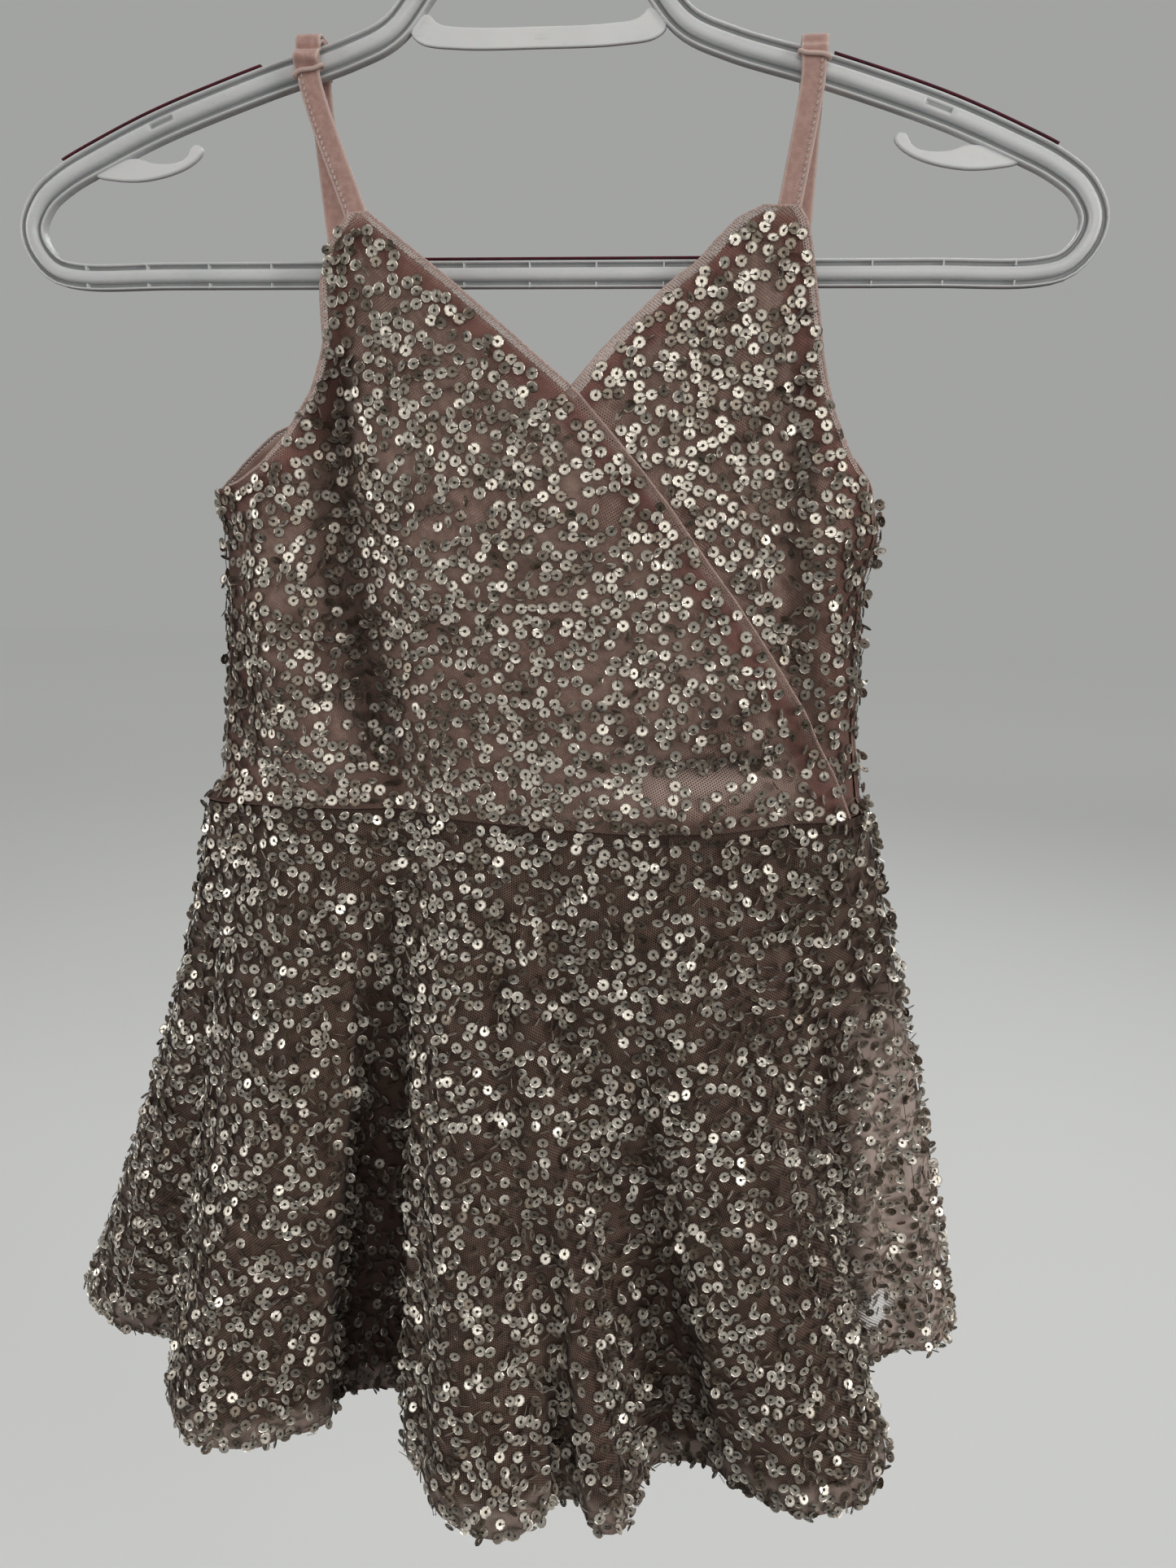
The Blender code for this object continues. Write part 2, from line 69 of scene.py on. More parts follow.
STRAP_WIDTH = 0.0084
STRAP_WALL = 0.0015
STRAP_LIFT = 0.0024
RING_WIRE = 0.0006
BAND_SIDES = 20
STITCH_PITCH = 0.0021
ARM_HALF_DEPTH = 0.0038
FRAME_HALF_HEIGHT = 0.0055
FRAME_SPACING = 0.003
ARM_SIZE = 0.93
ARM_LOW_Z = -0.19
STRAP_REACH = ARM_SIZE * ARM_HALF_DEPTH + 2 * RING_WIRE + 2 * SEAM_GAP + STRAP_WALL / 2
SLOT_SPAN = (0.1345, 0.1435)
BAR_TOP = -0.2093
BAR_MIDDLE = -0.2144
TICK_PITCH = 0.0245
WEB_THICKNESS = 0.0022
NOTCH_THICKNESS = 0.003
GRIP_WIDTH = 0.0045
GRIP_WALL = 0.0008
HOOK_WIRE = 0.0036
HOOK_RADIUS = 0.0236

# A cup sequin: radius and height of its hole's edge, of its flat floor and of its rim.
SEQUIN_RIM = 0.00222
SEQUIN_DEPTH = 0.00026
SEQUIN_PROFILE = ((0.00062, 0.00003), (0.00184, 0.00007), (SEQUIN_RIM, SEQUIN_DEPTH))
SEQUIN_SIDES = 9
SEQUIN_AREA = 21e-6
# Least distance between sequins where a row starts, early and late, and along a row.
START_CLEAR, LATE_CLEAR, ROW_CLEAR = 0.0041, 0.0031, 0.0032
ROW_PITCH = (0.0036, 0.005)
ROW_LENGTH = (4, 15)
SEAM_PITCH = (0.0037, 0.0075)
# A row's bend: its spread at the start, the share kept at each step and the spread added.
BEND_START, BEND_KEPT, BEND_STEP = 0.30, 0.75, 0.22
SPOT_CELL = 0.0045
# Painted shade on the net between sequins: reach, number of near sequins for full shade, and its strength.
CROWD_REACH = 0.0048
CROWD_FULL = 6.0
CROWD_SHADE = 0.88
# The thread of a sequin: its reach over the hole and lift from the film, half widths of its cross and its run.
# The wide cross covers the hole and carries its painted shade.
THREAD_REACH, THREAD_LIFT, CROSS_HALF, THREAD_HALF = 0.00052, 0.00012, 0.00044, 0.0001

NET_CELL = 0.001
HEM_TURN = 0.009
EDGE_TURN = 0.0034
EDGE_FADE = np.array([0.0, 0.02, 0.1, 0.3])
CROSSING_Z = -0.2575
# Lower ends of the armholes, and the height above which nothing covers the panel beneath.
OVER_ARM_Z, UNDER_ARM_Z, UNCOVERED_Z = -0.293, -0.292, -0.252
# Half widths of the corded edges.
TOP_CORD, ARM_CORD, FINE_CORD, SEAM_CORD = 0.00055, 0.00062, 0.00042, 0.00035
# Sequins keep clear of an edge and are thinned out up to a second distance, shorter ones at an armhole.
EDGE_CLEAR, EDGE_THIN = 0.0038, 0.0075
ARM_CLEAR, ARM_THIN = 0.0012, 0.0032
CROSS_CLEAR = 0.0022
HANGER_PITCH = 0.0058
# Middle of the patch above the waist seam that is painted light and left bare of sequins: across, height of the
# painted light, height of the bare patch.
PALE_X, PALE_Z, BARE_Z = 0.068, -0.396, -0.398
SHEER_SPOT = (0.955, 0.895)
# How deep a fold must be to look dark with painted shade, in the bodice at 0 and in the loose skirt at 1.
FOLD_DEPTH = {0.0: 0.0026, 1.0: 0.006}
# Colour of the painted shade in folds, at the waist seam and between sequins.
FOLD_SHADE_TONE = (0.036, 0.017, 0.012)
# Paler net colour: painted light above the bodice's waist and on the skirt's side flute, and the skirt's paler
# hem band.
PALE_TONE = (0.66, 0.53, 0.47)
WORLD_LIGHT = 0.05
WORLD_SEEN = 0.37

# The bodice's rings: height, left and right ends, depth to the front and to the back.
BODICE_RINGS = (
    ("z", "left", "right", "front", "back"),
    (-0.196, -0.124, 0.125, 0.0125, 0.012), (-0.25, -0.124, 0.125, 0.02, 0.018),
    (-0.291, -0.124, 0.1262, 0.0265, 0.023), (-0.306, -0.1212, 0.1288, 0.0285, 0.0245),
    (-0.323, -0.1215, 0.1245, 0.03, 0.0255), (-0.345, -0.1225, 0.1245, 0.0312, 0.0262),
    (-0.38, -0.124, 0.1255, 0.033, 0.028), (-0.404, -0.1252, 0.129, 0.0345, 0.029),
    (-0.411, -0.129, 0.132, 0.0355, 0.0296), (-0.418, -0.1365, 0.134, 0.036, 0.03),
)
# Upright folds of the bodice: place at the chest and at the waist, height where it starts, width, outward depth.
BODICE_FOLDS = (
    ("x_top", "x_waist", "z_top", "width", "depth"),
    (-0.074, -0.046, -0.225, 0.015, -0.0075), (-0.098, -0.09, -0.27, 0.012, 0.003),
    (0.088, 0.104, -0.24, 0.012, -0.003), (0.1, 0.118, -0.265, 0.011, 0.0026),
    (0.03, 0.05, -0.33, 0.03, 0.0016),
)
# The waist seam of the front: where it lies across, and its height.
WAIST_LINE = (
    ("x", "z"),
    (-0.137, -0.417), (-0.088, -0.4122), (-0.045, -0.4118), (0.0, -0.4136),
    (0.04, -0.4148), (0.075, -0.414), (0.105, -0.4112), (0.134, -0.4095),
)
# Front panel on top: height, armhole edge, crossing edge.
OVER_EDGES = (
    ("z", "outer", "inner"),
    (-0.1955, -0.0655, -0.059), (-0.206, -0.0735, -0.0455), (-0.22, -0.0765, -0.027),
    (-0.24, -0.0765, -0.002), (-0.257, -0.0815, 0.019), (-0.274, -0.0905, 0.0345),
    (-0.2835, -0.099, 0.043), (-0.289, -0.109, 0.0475), (-0.2915, -0.119, 0.0495),
    (-0.2935, -0.14, 0.0515), (-0.328, -0.14, 0.0775), (-0.37, -0.14, 0.105),
    (-0.395, -0.14, 0.117), (-0.418, -0.14, 0.1255),
)
# Front panel beneath: height, crossing edge, armhole edge.
UNDER_EDGES = (
    ("z", "inner", "outer"),
    (-0.1935, 0.0815, 0.0935), (-0.1975, 0.073, 0.0965), (-0.205, 0.0655, 0.0985),
    (-0.212, 0.0595, 0.0998), (-0.219, 0.05, 0.101), (-0.234, 0.0345, 0.1035),
    (-0.243, 0.0258, 0.105), (-0.252, 0.0185, 0.107), (-0.262, 0.01, 0.1098),
    (-0.277, -0.002, 0.1165), (-0.285, -0.0085, 0.1215), (-0.292, -0.014, 0.14),
    (-0.328, -0.042, 0.14), (-0.37, -0.069, 0.14), (-0.395, -0.08, 0.14), (-0.418, -0.087, 0.14),
)
# Top edge of the back: share of the way from the right seam to the left, height.
BACK_TOP = (
    ("share", "z"),
    (0.0, -0.2935), (0.05, -0.289), (0.1, -0.283), (0.15, -0.275), (0.2, -0.267), (0.28, -0.2615),
    (0.5, -0.265), (0.72, -0.2615), (0.8, -0.27), (0.85, -0.279), (0.9, -0.2868), (0.95, -0.2912),
    (1.0, -0.294),
)
# The hem, one row a turn of a fold, from the left seam across the front to the right seam,
# then across the back.
FRONT_HEM = (
    ("x", "y", "z", "flare"),
    (-0.196, -0.004, -0.677, 1.22), (-0.165, -0.007, -0.68, 1.22), (-0.153, -0.04, -0.6775, 1.22),
    (-0.131, -0.066, -0.677, 1.22), (-0.108, -0.066, -0.678, 1.22), (-0.088, -0.049, -0.679, 1.15),
    (-0.069, -0.03, -0.6815, 1.15), (-0.05, -0.027, -0.682, 1.15), (-0.037, -0.054, -0.684, 1.15),
    (-0.018, -0.082, -0.685, 1.15), (0.008, -0.086, -0.686, 1.15), (0.027, -0.067, -0.684, 1.15),
    (0.047, -0.075, -0.686, 1.15), (0.06, -0.048, -0.683, 1.15), (0.074, -0.044, -0.6825, 1.15),
    (0.102, -0.054, -0.6835, 1.15), (0.13, -0.059, -0.6835, 1.05), (0.149, -0.047, -0.683, 1.05),
    (0.1535, -0.021, -0.679, 1.05), (0.147, 0.01, -0.676, 0.92), (0.166, 0.026, -0.672, 0.92),
    (0.184, 0.027, -0.67, 0.92),
)
BACK_HEM = (
    ("x", "y", "z", "flare"),
    (0.184, 0.027, -0.67, 0.92), (0.1935, 0.045, -0.664, 0.92), (0.18, 0.068, -0.667, 0.92),
    (0.15, 0.056, -0.675, 1.12), (0.12, 0.033, -0.682, 1.12), (0.094, 0.06, -0.678, 1.12),
    (0.066, 0.082, -0.676, 1.12), (0.038, 0.066, -0.679, 1.12), (0.014, 0.03, -0.683, 1.12),
    (-0.012, 0.052, -0.68, 1.12), (-0.042, 0.083, -0.676, 1.12), (-0.074, 0.073, -0.678, 1.12),
    (-0.1, 0.034, -0.682, 1.12), (-0.128, 0.042, -0.679, 1.12), (-0.16, 0.07, -0.674, 1.22),
    (-0.196, 0.062, -0.671, 1.22), (-0.219, 0.04, -0.672, 1.22), (-0.2225, 0.017, -0.674, 1.22),
    (-0.196, -0.004, -0.677, 1.22),
)
# Soft creases of the bodice: from and to in the picture's plane, width, and outward height.
BODICE_CREASES = (
    ("x0", "z0", "x1", "z1", "width", "height"),
    (-0.118, -0.372, -0.056, -0.363, 0.0045, -0.0011), (-0.112, -0.386, -0.066, -0.381, 0.004, 0.0007),
    (-0.104, -0.352, -0.07, -0.344, 0.0042, -0.0006), (0.064, -0.372, 0.108, -0.365, 0.0034, -0.0013),
    (-0.0715, -0.22, -0.046, -0.414, 0.0085, -0.005), (-0.116, -0.296, -0.113, -0.406, 0.006, -0.0022),
    (-0.094, -0.27, -0.082, -0.4, 0.011, 0.0026), (0.103, -0.228, 0.117, -0.41, 0.0048, -0.0019),
    (0.114, -0.296, 0.123, -0.372, 0.005, 0.0018), (0.028, -0.404, 0.106, -0.397, 0.0042, 0.0024),
    (0.044, -0.389, 0.112, -0.38, 0.0038, -0.002), (-0.106, -0.3, -0.104, -0.4, 0.004, -0.0009),
    (-0.062, -0.228, -0.04, -0.33, 0.0055, 0.0009), (-0.02, -0.285, 0.002, -0.395, 0.012, 0.0009),
    (0.096, -0.216, 0.104, -0.3, 0.0045, -0.0011), (0.11, -0.3, 0.116, -0.39, 0.004, -0.0008),
    (0.072, -0.25, 0.092, -0.34, 0.006, 0.0008), (-0.012, -0.322, 0.034, -0.312, 0.006, -0.0006),
    (0.02, -0.25, 0.058, -0.305, 0.0045, 0.0007), (0.036, -0.38, 0.078, -0.376, 0.0032, -0.0015),
    (0.048, -0.388, 0.092, -0.385, 0.003, -0.0017), (0.06, -0.403, 0.104, -0.4, 0.0032, -0.0015),
)
BACK_CREASES = (
    ("x0", "z0", "x1", "z1", "width", "height"),
    (-0.09, -0.28, -0.074, -0.4, 0.006, 0.0011), (-0.06, -0.3, -0.052, -0.405, 0.005, -0.0009),
    (-0.108, -0.32, -0.04, -0.345, 0.005, -0.0008), (-0.02, -0.272, -0.028, -0.38, 0.008, 0.001),
    (0.018, -0.3, 0.03, -0.4, 0.006, -0.001), (0.062, -0.276, 0.05, -0.392, 0.006, 0.0012),
    (0.09, -0.29, 0.096, -0.4, 0.005, -0.001), (0.03, -0.378, 0.1, -0.388, 0.0045, -0.001),
    (-0.07, -0.388, -0.01, -0.384, 0.0045, 0.0008), (0.0, -0.268, 0.06, -0.29, 0.006, -0.0006),
)
# Soft creases of the skirt, each from a place near the waist to one near the hem.
FRONT_RIPPLES = (
    ("s0", "t0", "s1", "t1", "width", "height"),
    (0.04, 0.05, 0.06, 0.98, 0.0055, -0.0016), (0.085, 0.2, 0.12, 1.02, 0.006, 0.0014),
    (0.13, 0.0, 0.165, 0.8, 0.005, -0.0012), (0.19, 0.1, 0.215, 1.0, 0.0065, 0.0013),
    (0.265, 0.3, 0.285, 1.05, 0.0055, -0.0012), (0.32, 0.02, 0.35, 0.75, 0.005, 0.0012),
    (0.395, 0.15, 0.4, 1.02, 0.006, -0.0013), (0.43, 0.35, 0.455, 1.05, 0.006, 0.0018),
    (0.48, 0.05, 0.5, 0.9, 0.005, -0.0014), (0.525, 0.3, 0.54, 1.05, 0.0055, 0.0015),
    (0.56, 0.0, 0.575, 0.7, 0.0048, -0.0012), (0.615, 0.25, 0.625, 1.03, 0.006, 0.0014),
    (0.66, 0.05, 0.68, 0.95, 0.005, -0.0013), (0.7, 0.4, 0.735, 1.05, 0.006, 0.0016),
    (0.77, 0.1, 0.785, 0.9, 0.005, -0.0012), (0.84, 0.02, 0.85, 1.0, 0.0055, 0.0014),
    (0.905, 0.25, 0.915, 1.04, 0.0055, -0.0014), (0.955, 0.1, 0.96, 0.95, 0.005, 0.0012),
)
BACK_RIPPLES = (
    ("s0", "t0", "s1", "t1", "width", "height"),
    (0.035, 0.15, 0.045, 1.0, 0.005, 0.0013), (0.09, 0.05, 0.1, 0.85, 0.0055, -0.0014),
    (0.15, 0.3, 0.16, 1.04, 0.006, 0.0016), (0.21, 0.02, 0.225, 0.9, 0.005, -0.0012),
    (0.275, 0.2, 0.28, 1.02, 0.006, 0.0015), (0.335, 0.1, 0.34, 0.8, 0.005, -0.0013),
    (0.39, 0.35, 0.405, 1.05, 0.006, 0.0014), (0.45, 0.03, 0.455, 0.95, 0.005, -0.0015),
    (0.51, 0.25, 0.52, 1.03, 0.006, 0.0016), (0.575, 0.05, 0.57, 0.85, 0.005, -0.0012),
    (0.63, 0.3, 0.64, 1.05, 0.0055, 0.0014), (0.69, 0.0, 0.695, 0.8, 0.005, -0.0013),
    (0.745, 0.2, 0.75, 1.02, 0.006, 0.0015), (0.805, 0.1, 0.8, 0.9, 0.0055, -0.0014),
    (0.865, 0.3, 0.87, 1.04, 0.006, 0.0013), (0.925, 0.05, 0.93, 0.95, 0.005, -0.0012),
)
# Deeper folds with steep sides, which keep their depth to the hem.
FRONT_VALLEYS = (
    ("s0", "t0", "s1", "t1", "width", "height"),
    (0.316, 0.0, 0.326, 1.0, 0.017, -0.023), (0.672, 0.15, 0.675, 1.0, 0.015, -0.0085),
    (0.558, 0.45, 0.556, 1.0, 0.006, -0.0045), (0.905, 0.25, 0.93, 1.0, 0.0085, -0.006),
    (0.12, 0.3, 0.085, 1.0, 0.008, -0.005), (0.585, 0.1, 0.59, 1.0, 0.0085, 0.004),
    (0.835, 0.1, 0.85, 1.0, 0.01, 0.0035), (0.262, 0.08, 0.272, 1.0, 0.01, 0.0045),
    (0.38, 0.1, 0.392, 1.0, 0.008, 0.004),
)
BACK_VALLEYS = (
    ("s0", "t0", "s1", "t1", "width", "height"),
    (0.18, 0.1, 0.19, 1.0, 0.012, -0.007), (0.43, 0.2, 0.44, 1.0, 0.012, -0.006),
    (0.66, 0.05, 0.665, 1.0, 0.013, -0.008), (0.3, 0.2, 0.305, 1.0, 0.009, 0.004),
    (0.56, 0.15, 0.565, 1.0, 0.009, 0.004), (0.83, 0.2, 0.835, 1.0, 0.009, -0.005),
)
# Middle line of the hanger's right half, from its neck down the arm and round to the bar,
# and the size there.
FRAME_LINE = (
    ("x", "z", "size"),
    (0.0, -0.0895, 0.9), (0.013, -0.0925, 0.9), (0.028, -0.104, 0.9), (0.0412, -0.1208, 0.9),
    (0.0522, -0.133, 0.91), (0.0683, -0.14, 0.92), (0.1012, -0.1494, 0.93), (0.14, -0.1622, 0.93),
    (0.1655, -0.1728, 0.92), (0.1808, -0.1803, 0.9), (0.1903, -0.188, 0.88), (0.1944, -0.1965, 0.87),
    (0.1922, -0.2055, 0.86), (0.1865, -0.2115, 0.86), (0.177, -0.214, 0.86), (0.14, -0.214, 0.86),
    (0.07, -0.214, 0.86), (0.0, -0.214, 0.86),
)
# Half of the moulded frame's section: share of the half height, share of the half depth.
RIBBED_PROFILE = (
    ("across", "deep"),
    (-1.0, 0.36), (-0.985, 0.56), (-0.945, 0.68), (-0.885, 0.72), (-0.825, 0.68),
    (-0.8, 0.5), (-0.785, 0.16), (-0.72, 0.1), (-0.56, 0.1), (-0.5, 0.18),
    (-0.47, 0.58), (-0.42, 0.79), (-0.33, 0.91), (-0.17, 0.98), (0.0, 1.0),
)
WEB_OUTLINE = (
    ("x", "z"),
    (-0.0454, -0.134), (-0.042, -0.1374), (-0.028, -0.1394), (0.0, -0.1398), (0.028, -0.1394),
    (0.042, -0.1374), (0.0454, -0.134), (0.0396, -0.128), (0.0355, -0.1312), (0.0236, -0.1327),
    (0.0, -0.133), (-0.0236, -0.1327), (-0.0355, -0.1312), (-0.0396, -0.128),
)
# Small hook under the left arm. The right one is its mirror image.
NOTCH_OUTLINE = (
    ("x", "z"),
    (-0.1674, -0.179), (-0.16, -0.1806), (-0.151, -0.181), (-0.1435, -0.1801), (-0.1365, -0.1784),
    (-0.1308, -0.1761), (-0.1268, -0.1734), (-0.1251, -0.1711), (-0.1257, -0.1693), (-0.1276, -0.1687),
    (-0.1295, -0.1697), (-0.1306, -0.1719), (-0.1331, -0.1739), (-0.1367, -0.1748), (-0.141, -0.175),
    (-0.1453, -0.1745), (-0.1505, -0.1731), (-0.16, -0.1745),
)
# The straps: place on the arm, the ring's height and tilt there, and where the ends join the bodice.
STRAPS = (
    ("name", "arm_x", "arm_z", "ring_up", "ring_tilt",
     "front_x", "front_y", "front_z", "back_x", "back_y", "back_z"),
    ("left", -0.0815, -0.1436, -0.0034, 0.3, -0.06, -0.0098, -0.207, -0.0715, 0.014, -0.27),
    ("right", 0.0962, -0.148, 0.002, -0.2, 0.0885, -0.0058, -0.206, 0.0925, 0.012, -0.27),
)
# Where a strap's spare length is folded over the arm: middle, spread and height of its lumps.
FOLD_LUMPS = {
    "left": ((0.12, 0.075, 0.0026), (0.235, 0.022, -0.001), (0.35, 0.08, 0.0014), (0.78, 0.14, 0.0006)),
    "right": ((0.1, 0.06, 0.0008), (0.3, 0.1, 0.0013), (0.8, 0.12, 0.0005)),
}
# Studio lights: name, place, aim, size, power and colour.
LIGHTS = (
    ("softbox", (0.3, -1.7, 0.35), (0.0, 0.0, -0.4), (1.3, 1.1), 8.2, (1.0, 0.985, 0.955)),
    ("front_card", (0.0, -1.5, -0.57), (0.0, 0.0, -0.45), (2.2, 0.9), 2.9, (1.0, 1.0, 0.985)),
    ("window", (1.6, -0.85, 0.15), (0.0, 0.0, -0.4), (0.42, 1.0), 10.4, (1.0, 0.99, 0.97)),
    ("left_wall", (-1.7, -0.5, 0.0), (0.0, 0.0, -0.4), (0.75, 1.2), 9.3, (1.0, 0.99, 0.97)),
    ("rim", (0.5, 1.5, 0.7), (0.0, 0.0, -0.4), (1.4, 0.8), 9.0, (1.0, 1.0, 1.0)),
)
# A small box: the signs of its corners, and its faces.
BOX_CORNERS = tuple(product((-1, 1), (-1, 1), (0, 1)))
BOX_FACES = np.array(((0, 1, 3, 2), (4, 6, 7, 5), (0, 4, 5, 1), (2, 3, 7, 6), (1, 5, 7, 3), (0, 2, 6, 4)))


def columns(table):
    return {name: np.array([row[k] for row in table[1:]]) for k, name in enumerate(table[0])}


def at(table, key, name, value):
    """The value of one column of a table where another has the given value."""
    data = columns(table)
    order = np.argsort(data[key])
    return np.interp(value, data[key][order], data[name][order])


def curve_through(points, closed=False):
    """A curve through the given points, in RUN_STEPS short steps from each to the next."""
    given = np.asarray(points, float)
    if closed:
        padded = np.vstack([given[-1], given, given[0], given[1]])
    else:
        padded = np.vstack([2 * given[0] - given[1], given, 2 * given[-1] - given[-2]])
    dense = []
    for k in range(1, len(padded) - 2):
        parts = padded[k - 1 : k + 3]
        gaps = [max(np.linalg.norm(b - a), 1e-6) ** 0.5 for a, b in zip(parts, parts[1:])]
        knots = np.cumsum([0.0] + gaps)
        t = np.linspace(knots[1], knots[2], RUN_STEPS, endpoint=False)[:, None]
        for spans in (((0, 1), (1, 2), (2, 3)), ((0, 2), (1, 3)), ((1, 2),)):
            parts = [
                (knots[j] - t) / (knots[j] - knots[i]) * a + (t - knots[i]) / (knots[j] - knots[i]) * b
                for (i, j), a, b in zip(spans, parts, parts[1:])
            ]
        dense.append(parts[0])
    dense.append(given[:1] if closed else given[-1:])
    return np.vstack(dense)


def steps_of(line):
    return np.linalg.norm(np.diff(line, axis=0), axis=-1)


def run_of(line):
    """How far along a polyline each of its points lies."""
    return np.concatenate([[0.0], np.cumsum(steps_of(line))])


def evenly(line, shares):
    """Points at the given shares of a polyline's length."""
    along = run_of(line)
    wanted = np.asarray(shares) * along[-1]
    return np.stack([np.interp(wanted, along, line[:, k]) for k in range(line.shape[1])], -1)


def smooth_through(points, count):
    """Points spaced evenly along a curve through the given ones."""
    return evenly(curve_through(points), np.linspace(0.0, 1.0, count))


def rounded(table, count):
    """A closed outline through a table's points, evenly spaced."""
    return evenly(curve_through(table[1:], closed=True), np.linspace(0, 1, count + 1))[:-1]


def unit(vectors):
    return vectors / np.maximum(np.linalg.norm(vectors, axis=-1, keepdims=True), 1e-12)


def square_to(vectors, normal):
    return unit(vectors - normal * (vectors * normal).sum(-1, keepdims=True))


def turned(first, second, angle):
    return first * np.cos(angle)[:, None] + second * np.sin(angle)[:, None]


def tangent_round(line):
    return unit(np.roll(line, -1, axis=0) - np.roll(line, 1, axis=0))


def beside(tangent):
    return np.stack([-tangent[:, 1], tangent[:, 0]], -1)


def circle(count):
    angles = np.linspace(0, 2 * np.pi, count, endpoint=False)
    return np.cos(angles), np.sin(angles)


def squared(value, power):
    """A circle's cosine or sine, pushed out towards a square by a low power."""
    return np.sign(value) * np.abs(value) ** power


def ring(angle, z):
    """A point of the bodice: angle 0 at the left end, 90 degrees in front, 180 at the right end, 270 behind."""
    left, right, front, back = (at(BODICE_RINGS, "z", name, z) for name in BODICE_RINGS[0][1:])
    half = (right - left) / 2
    x = (left + right) / 2 - half * np.cos(angle)
    side = np.sin(angle)
    y = -squared(side, EDGE_ROUND) * np.where(side > 0, front, back)
    for x_top, x_waist, z_top, width, depth in BODICE_FOLDS[1:]:
        down = np.clip((z_top - z) / (z_top - FOLDS_END_Z), 0.0, 1.2)
        middle = x_top + (x_waist - x_top) * down
        shape = np.exp(-(((x - middle) / width) ** 2)) * np.clip(down * 2.2, 0.0, 1.0)
        y = y - np.where(side > 0, np.clip(side * 2.0, 0.0, 1.0) * depth * shape, 0.0)
    return np.stack([x, y, z + 0.0 * x], -1)


def ring_angle(x, z):
    left, right = (at(BODICE_RINGS, "z", name, z) for name in ("left", "right"))
    return np.arccos(np.clip(1 - 2 * (x - left) / (right - left), -1.0, 1.0))


def waist_height(x):
    return at(WAIST_LINE, "x", "z", x)


def waist_ring(angle):
    """The skirt's upper edge, just under the waist seam."""
    z = np.full_like(angle, WAIST_Z)
    for _ in range(3):
        z = waist_height(ring(angle, z)[..., 0]) - SEAM_GAP / 2
    return ring(angle, z)


def lowered(top, share, angle, z):
    """The height at a share of the way from a panel's top down to the waist seam."""
    return top + (waist_height(ring(angle, z)[..., 0]) + SEAM_GAP / 2 - top) * share


class Cloth:
    """A sheet as rows of points, with the way out at each. Place s runs across it and t down it."""

    def __init__(self, points):
        self.points = points
        self.rows, self.count = points.shape[:2]
        self.s = np.linspace(0, 1, self.count)[None, :]
        self.t = np.linspace(0, 1, self.rows)[:, None]
        self.fold = np.zeros((self.rows, self.count))
        self.settle()

    def settle(self):
        """Works out, for its present points, the slopes across and down, and the places laid flat."""
        self.across = np.gradient(self.points, axis=1) * (self.count - 1)
        self.down = np.gradient(self.points, axis=0) * (self.rows - 1)
        self.out = unit(np.cross(self.down, self.across))
        self.wide = np.linalg.norm(self.across, axis=-1)
        self.lean = (self.down * self.across).sum(-1) / self.wide
        self.deep = np.sqrt(np.maximum((self.down ** 2).sum(-1) - self.lean ** 2, 1e-12))
        run = np.array([run_of(row) for row in self.points])
        drop = run_of(self.points[:, self.count // 2])
        self.flat = np.stack([run - run[:, -1:] / 2, np.repeat(drop[:, None], self.count, 1)], -1)
        self.widths = self.flat[:, -1, 0] - self.flat[:, 0, 0]
        self.length = drop[-1]

    def raised(self, height):
        self.points = self.points + self.out * height[..., None]
        self.settle()

    def folded(self, height):
        self.fold = self.fold + height
        self.raised(height)

    def shade(self, depth):
        """How deep in a fold each point lies, 0 to 1: the share of painted shade there."""
        return 1 - np.exp(np.minimum(self.fold, 0.0) / depth)

    def read(self, grid, s, t):
        """The value of a grid at any place of the sheet."""
        i = min(max(t, 0.0), 1.0) * (self.rows - 1)
        j = min(max(s, 0.0), 1.0) * (self.count - 1)
        i0, j0 = min(int(i), self.rows - 2), min(int(j), self.count - 2)
        a, b = i - i0, j - j0
        top = grid[i0, j0] * (1 - b) + grid[i0, j0 + 1] * b
        low = grid[i0 + 1, j0] * (1 - b) + grid[i0 + 1, j0 + 1] * b
        return top * (1 - a) + low * a

    def read_all(self, grid, s, t):
        return np.array([self.read(grid, a, b) for a, b in zip(s, t)])

    def lifted(self, s, t, lift):
        """A point at a height over the sheet."""
        return self.read(self.points, s, t) + self.read(self.out, s, t) * lift

    def moved(self, s, t, heading, step):
        """The place one step further over the cloth, in a heading measured from the way across."""
        wide = self.read(self.wide, s, t)
        dt = step * math.sin(heading) / self.read(self.deep, s, t)
        ds = (step * math.cos(heading) - dt * self.read(self.lean, s, t)) / wide
        return s + ds, t + dt

    def area(self):
        return np.linalg.norm(np.cross(self.down, self.across), axis=-1).mean()


def grid_faces(rows, count, wrap=False):
    i = np.arange(rows - 1)[:, None]
    j = np.arange(count if wrap else count - 1)[None, :]
    after = (j + 1) % count
    quads = np.stack([i * count + j, (i + 1) * count + j, (i + 1) * count + after, i * count + after], -1)
    return quads.reshape(-1, 4)


def capped(rows, sides):
    """The faces of rows round a form, and of its two ends."""
    last = (rows - 1) * sides
    ends = [list(range(sides)), [last + k for k in reversed(range(sides))]]
    return grid_faces(rows, sides, wrap=True).tolist() + ends


def repeated(faces, count, step):
    """The faces of many like forms, each with the given number of points."""
    return faces[None] + (np.arange(count) * step)[:, None, None]


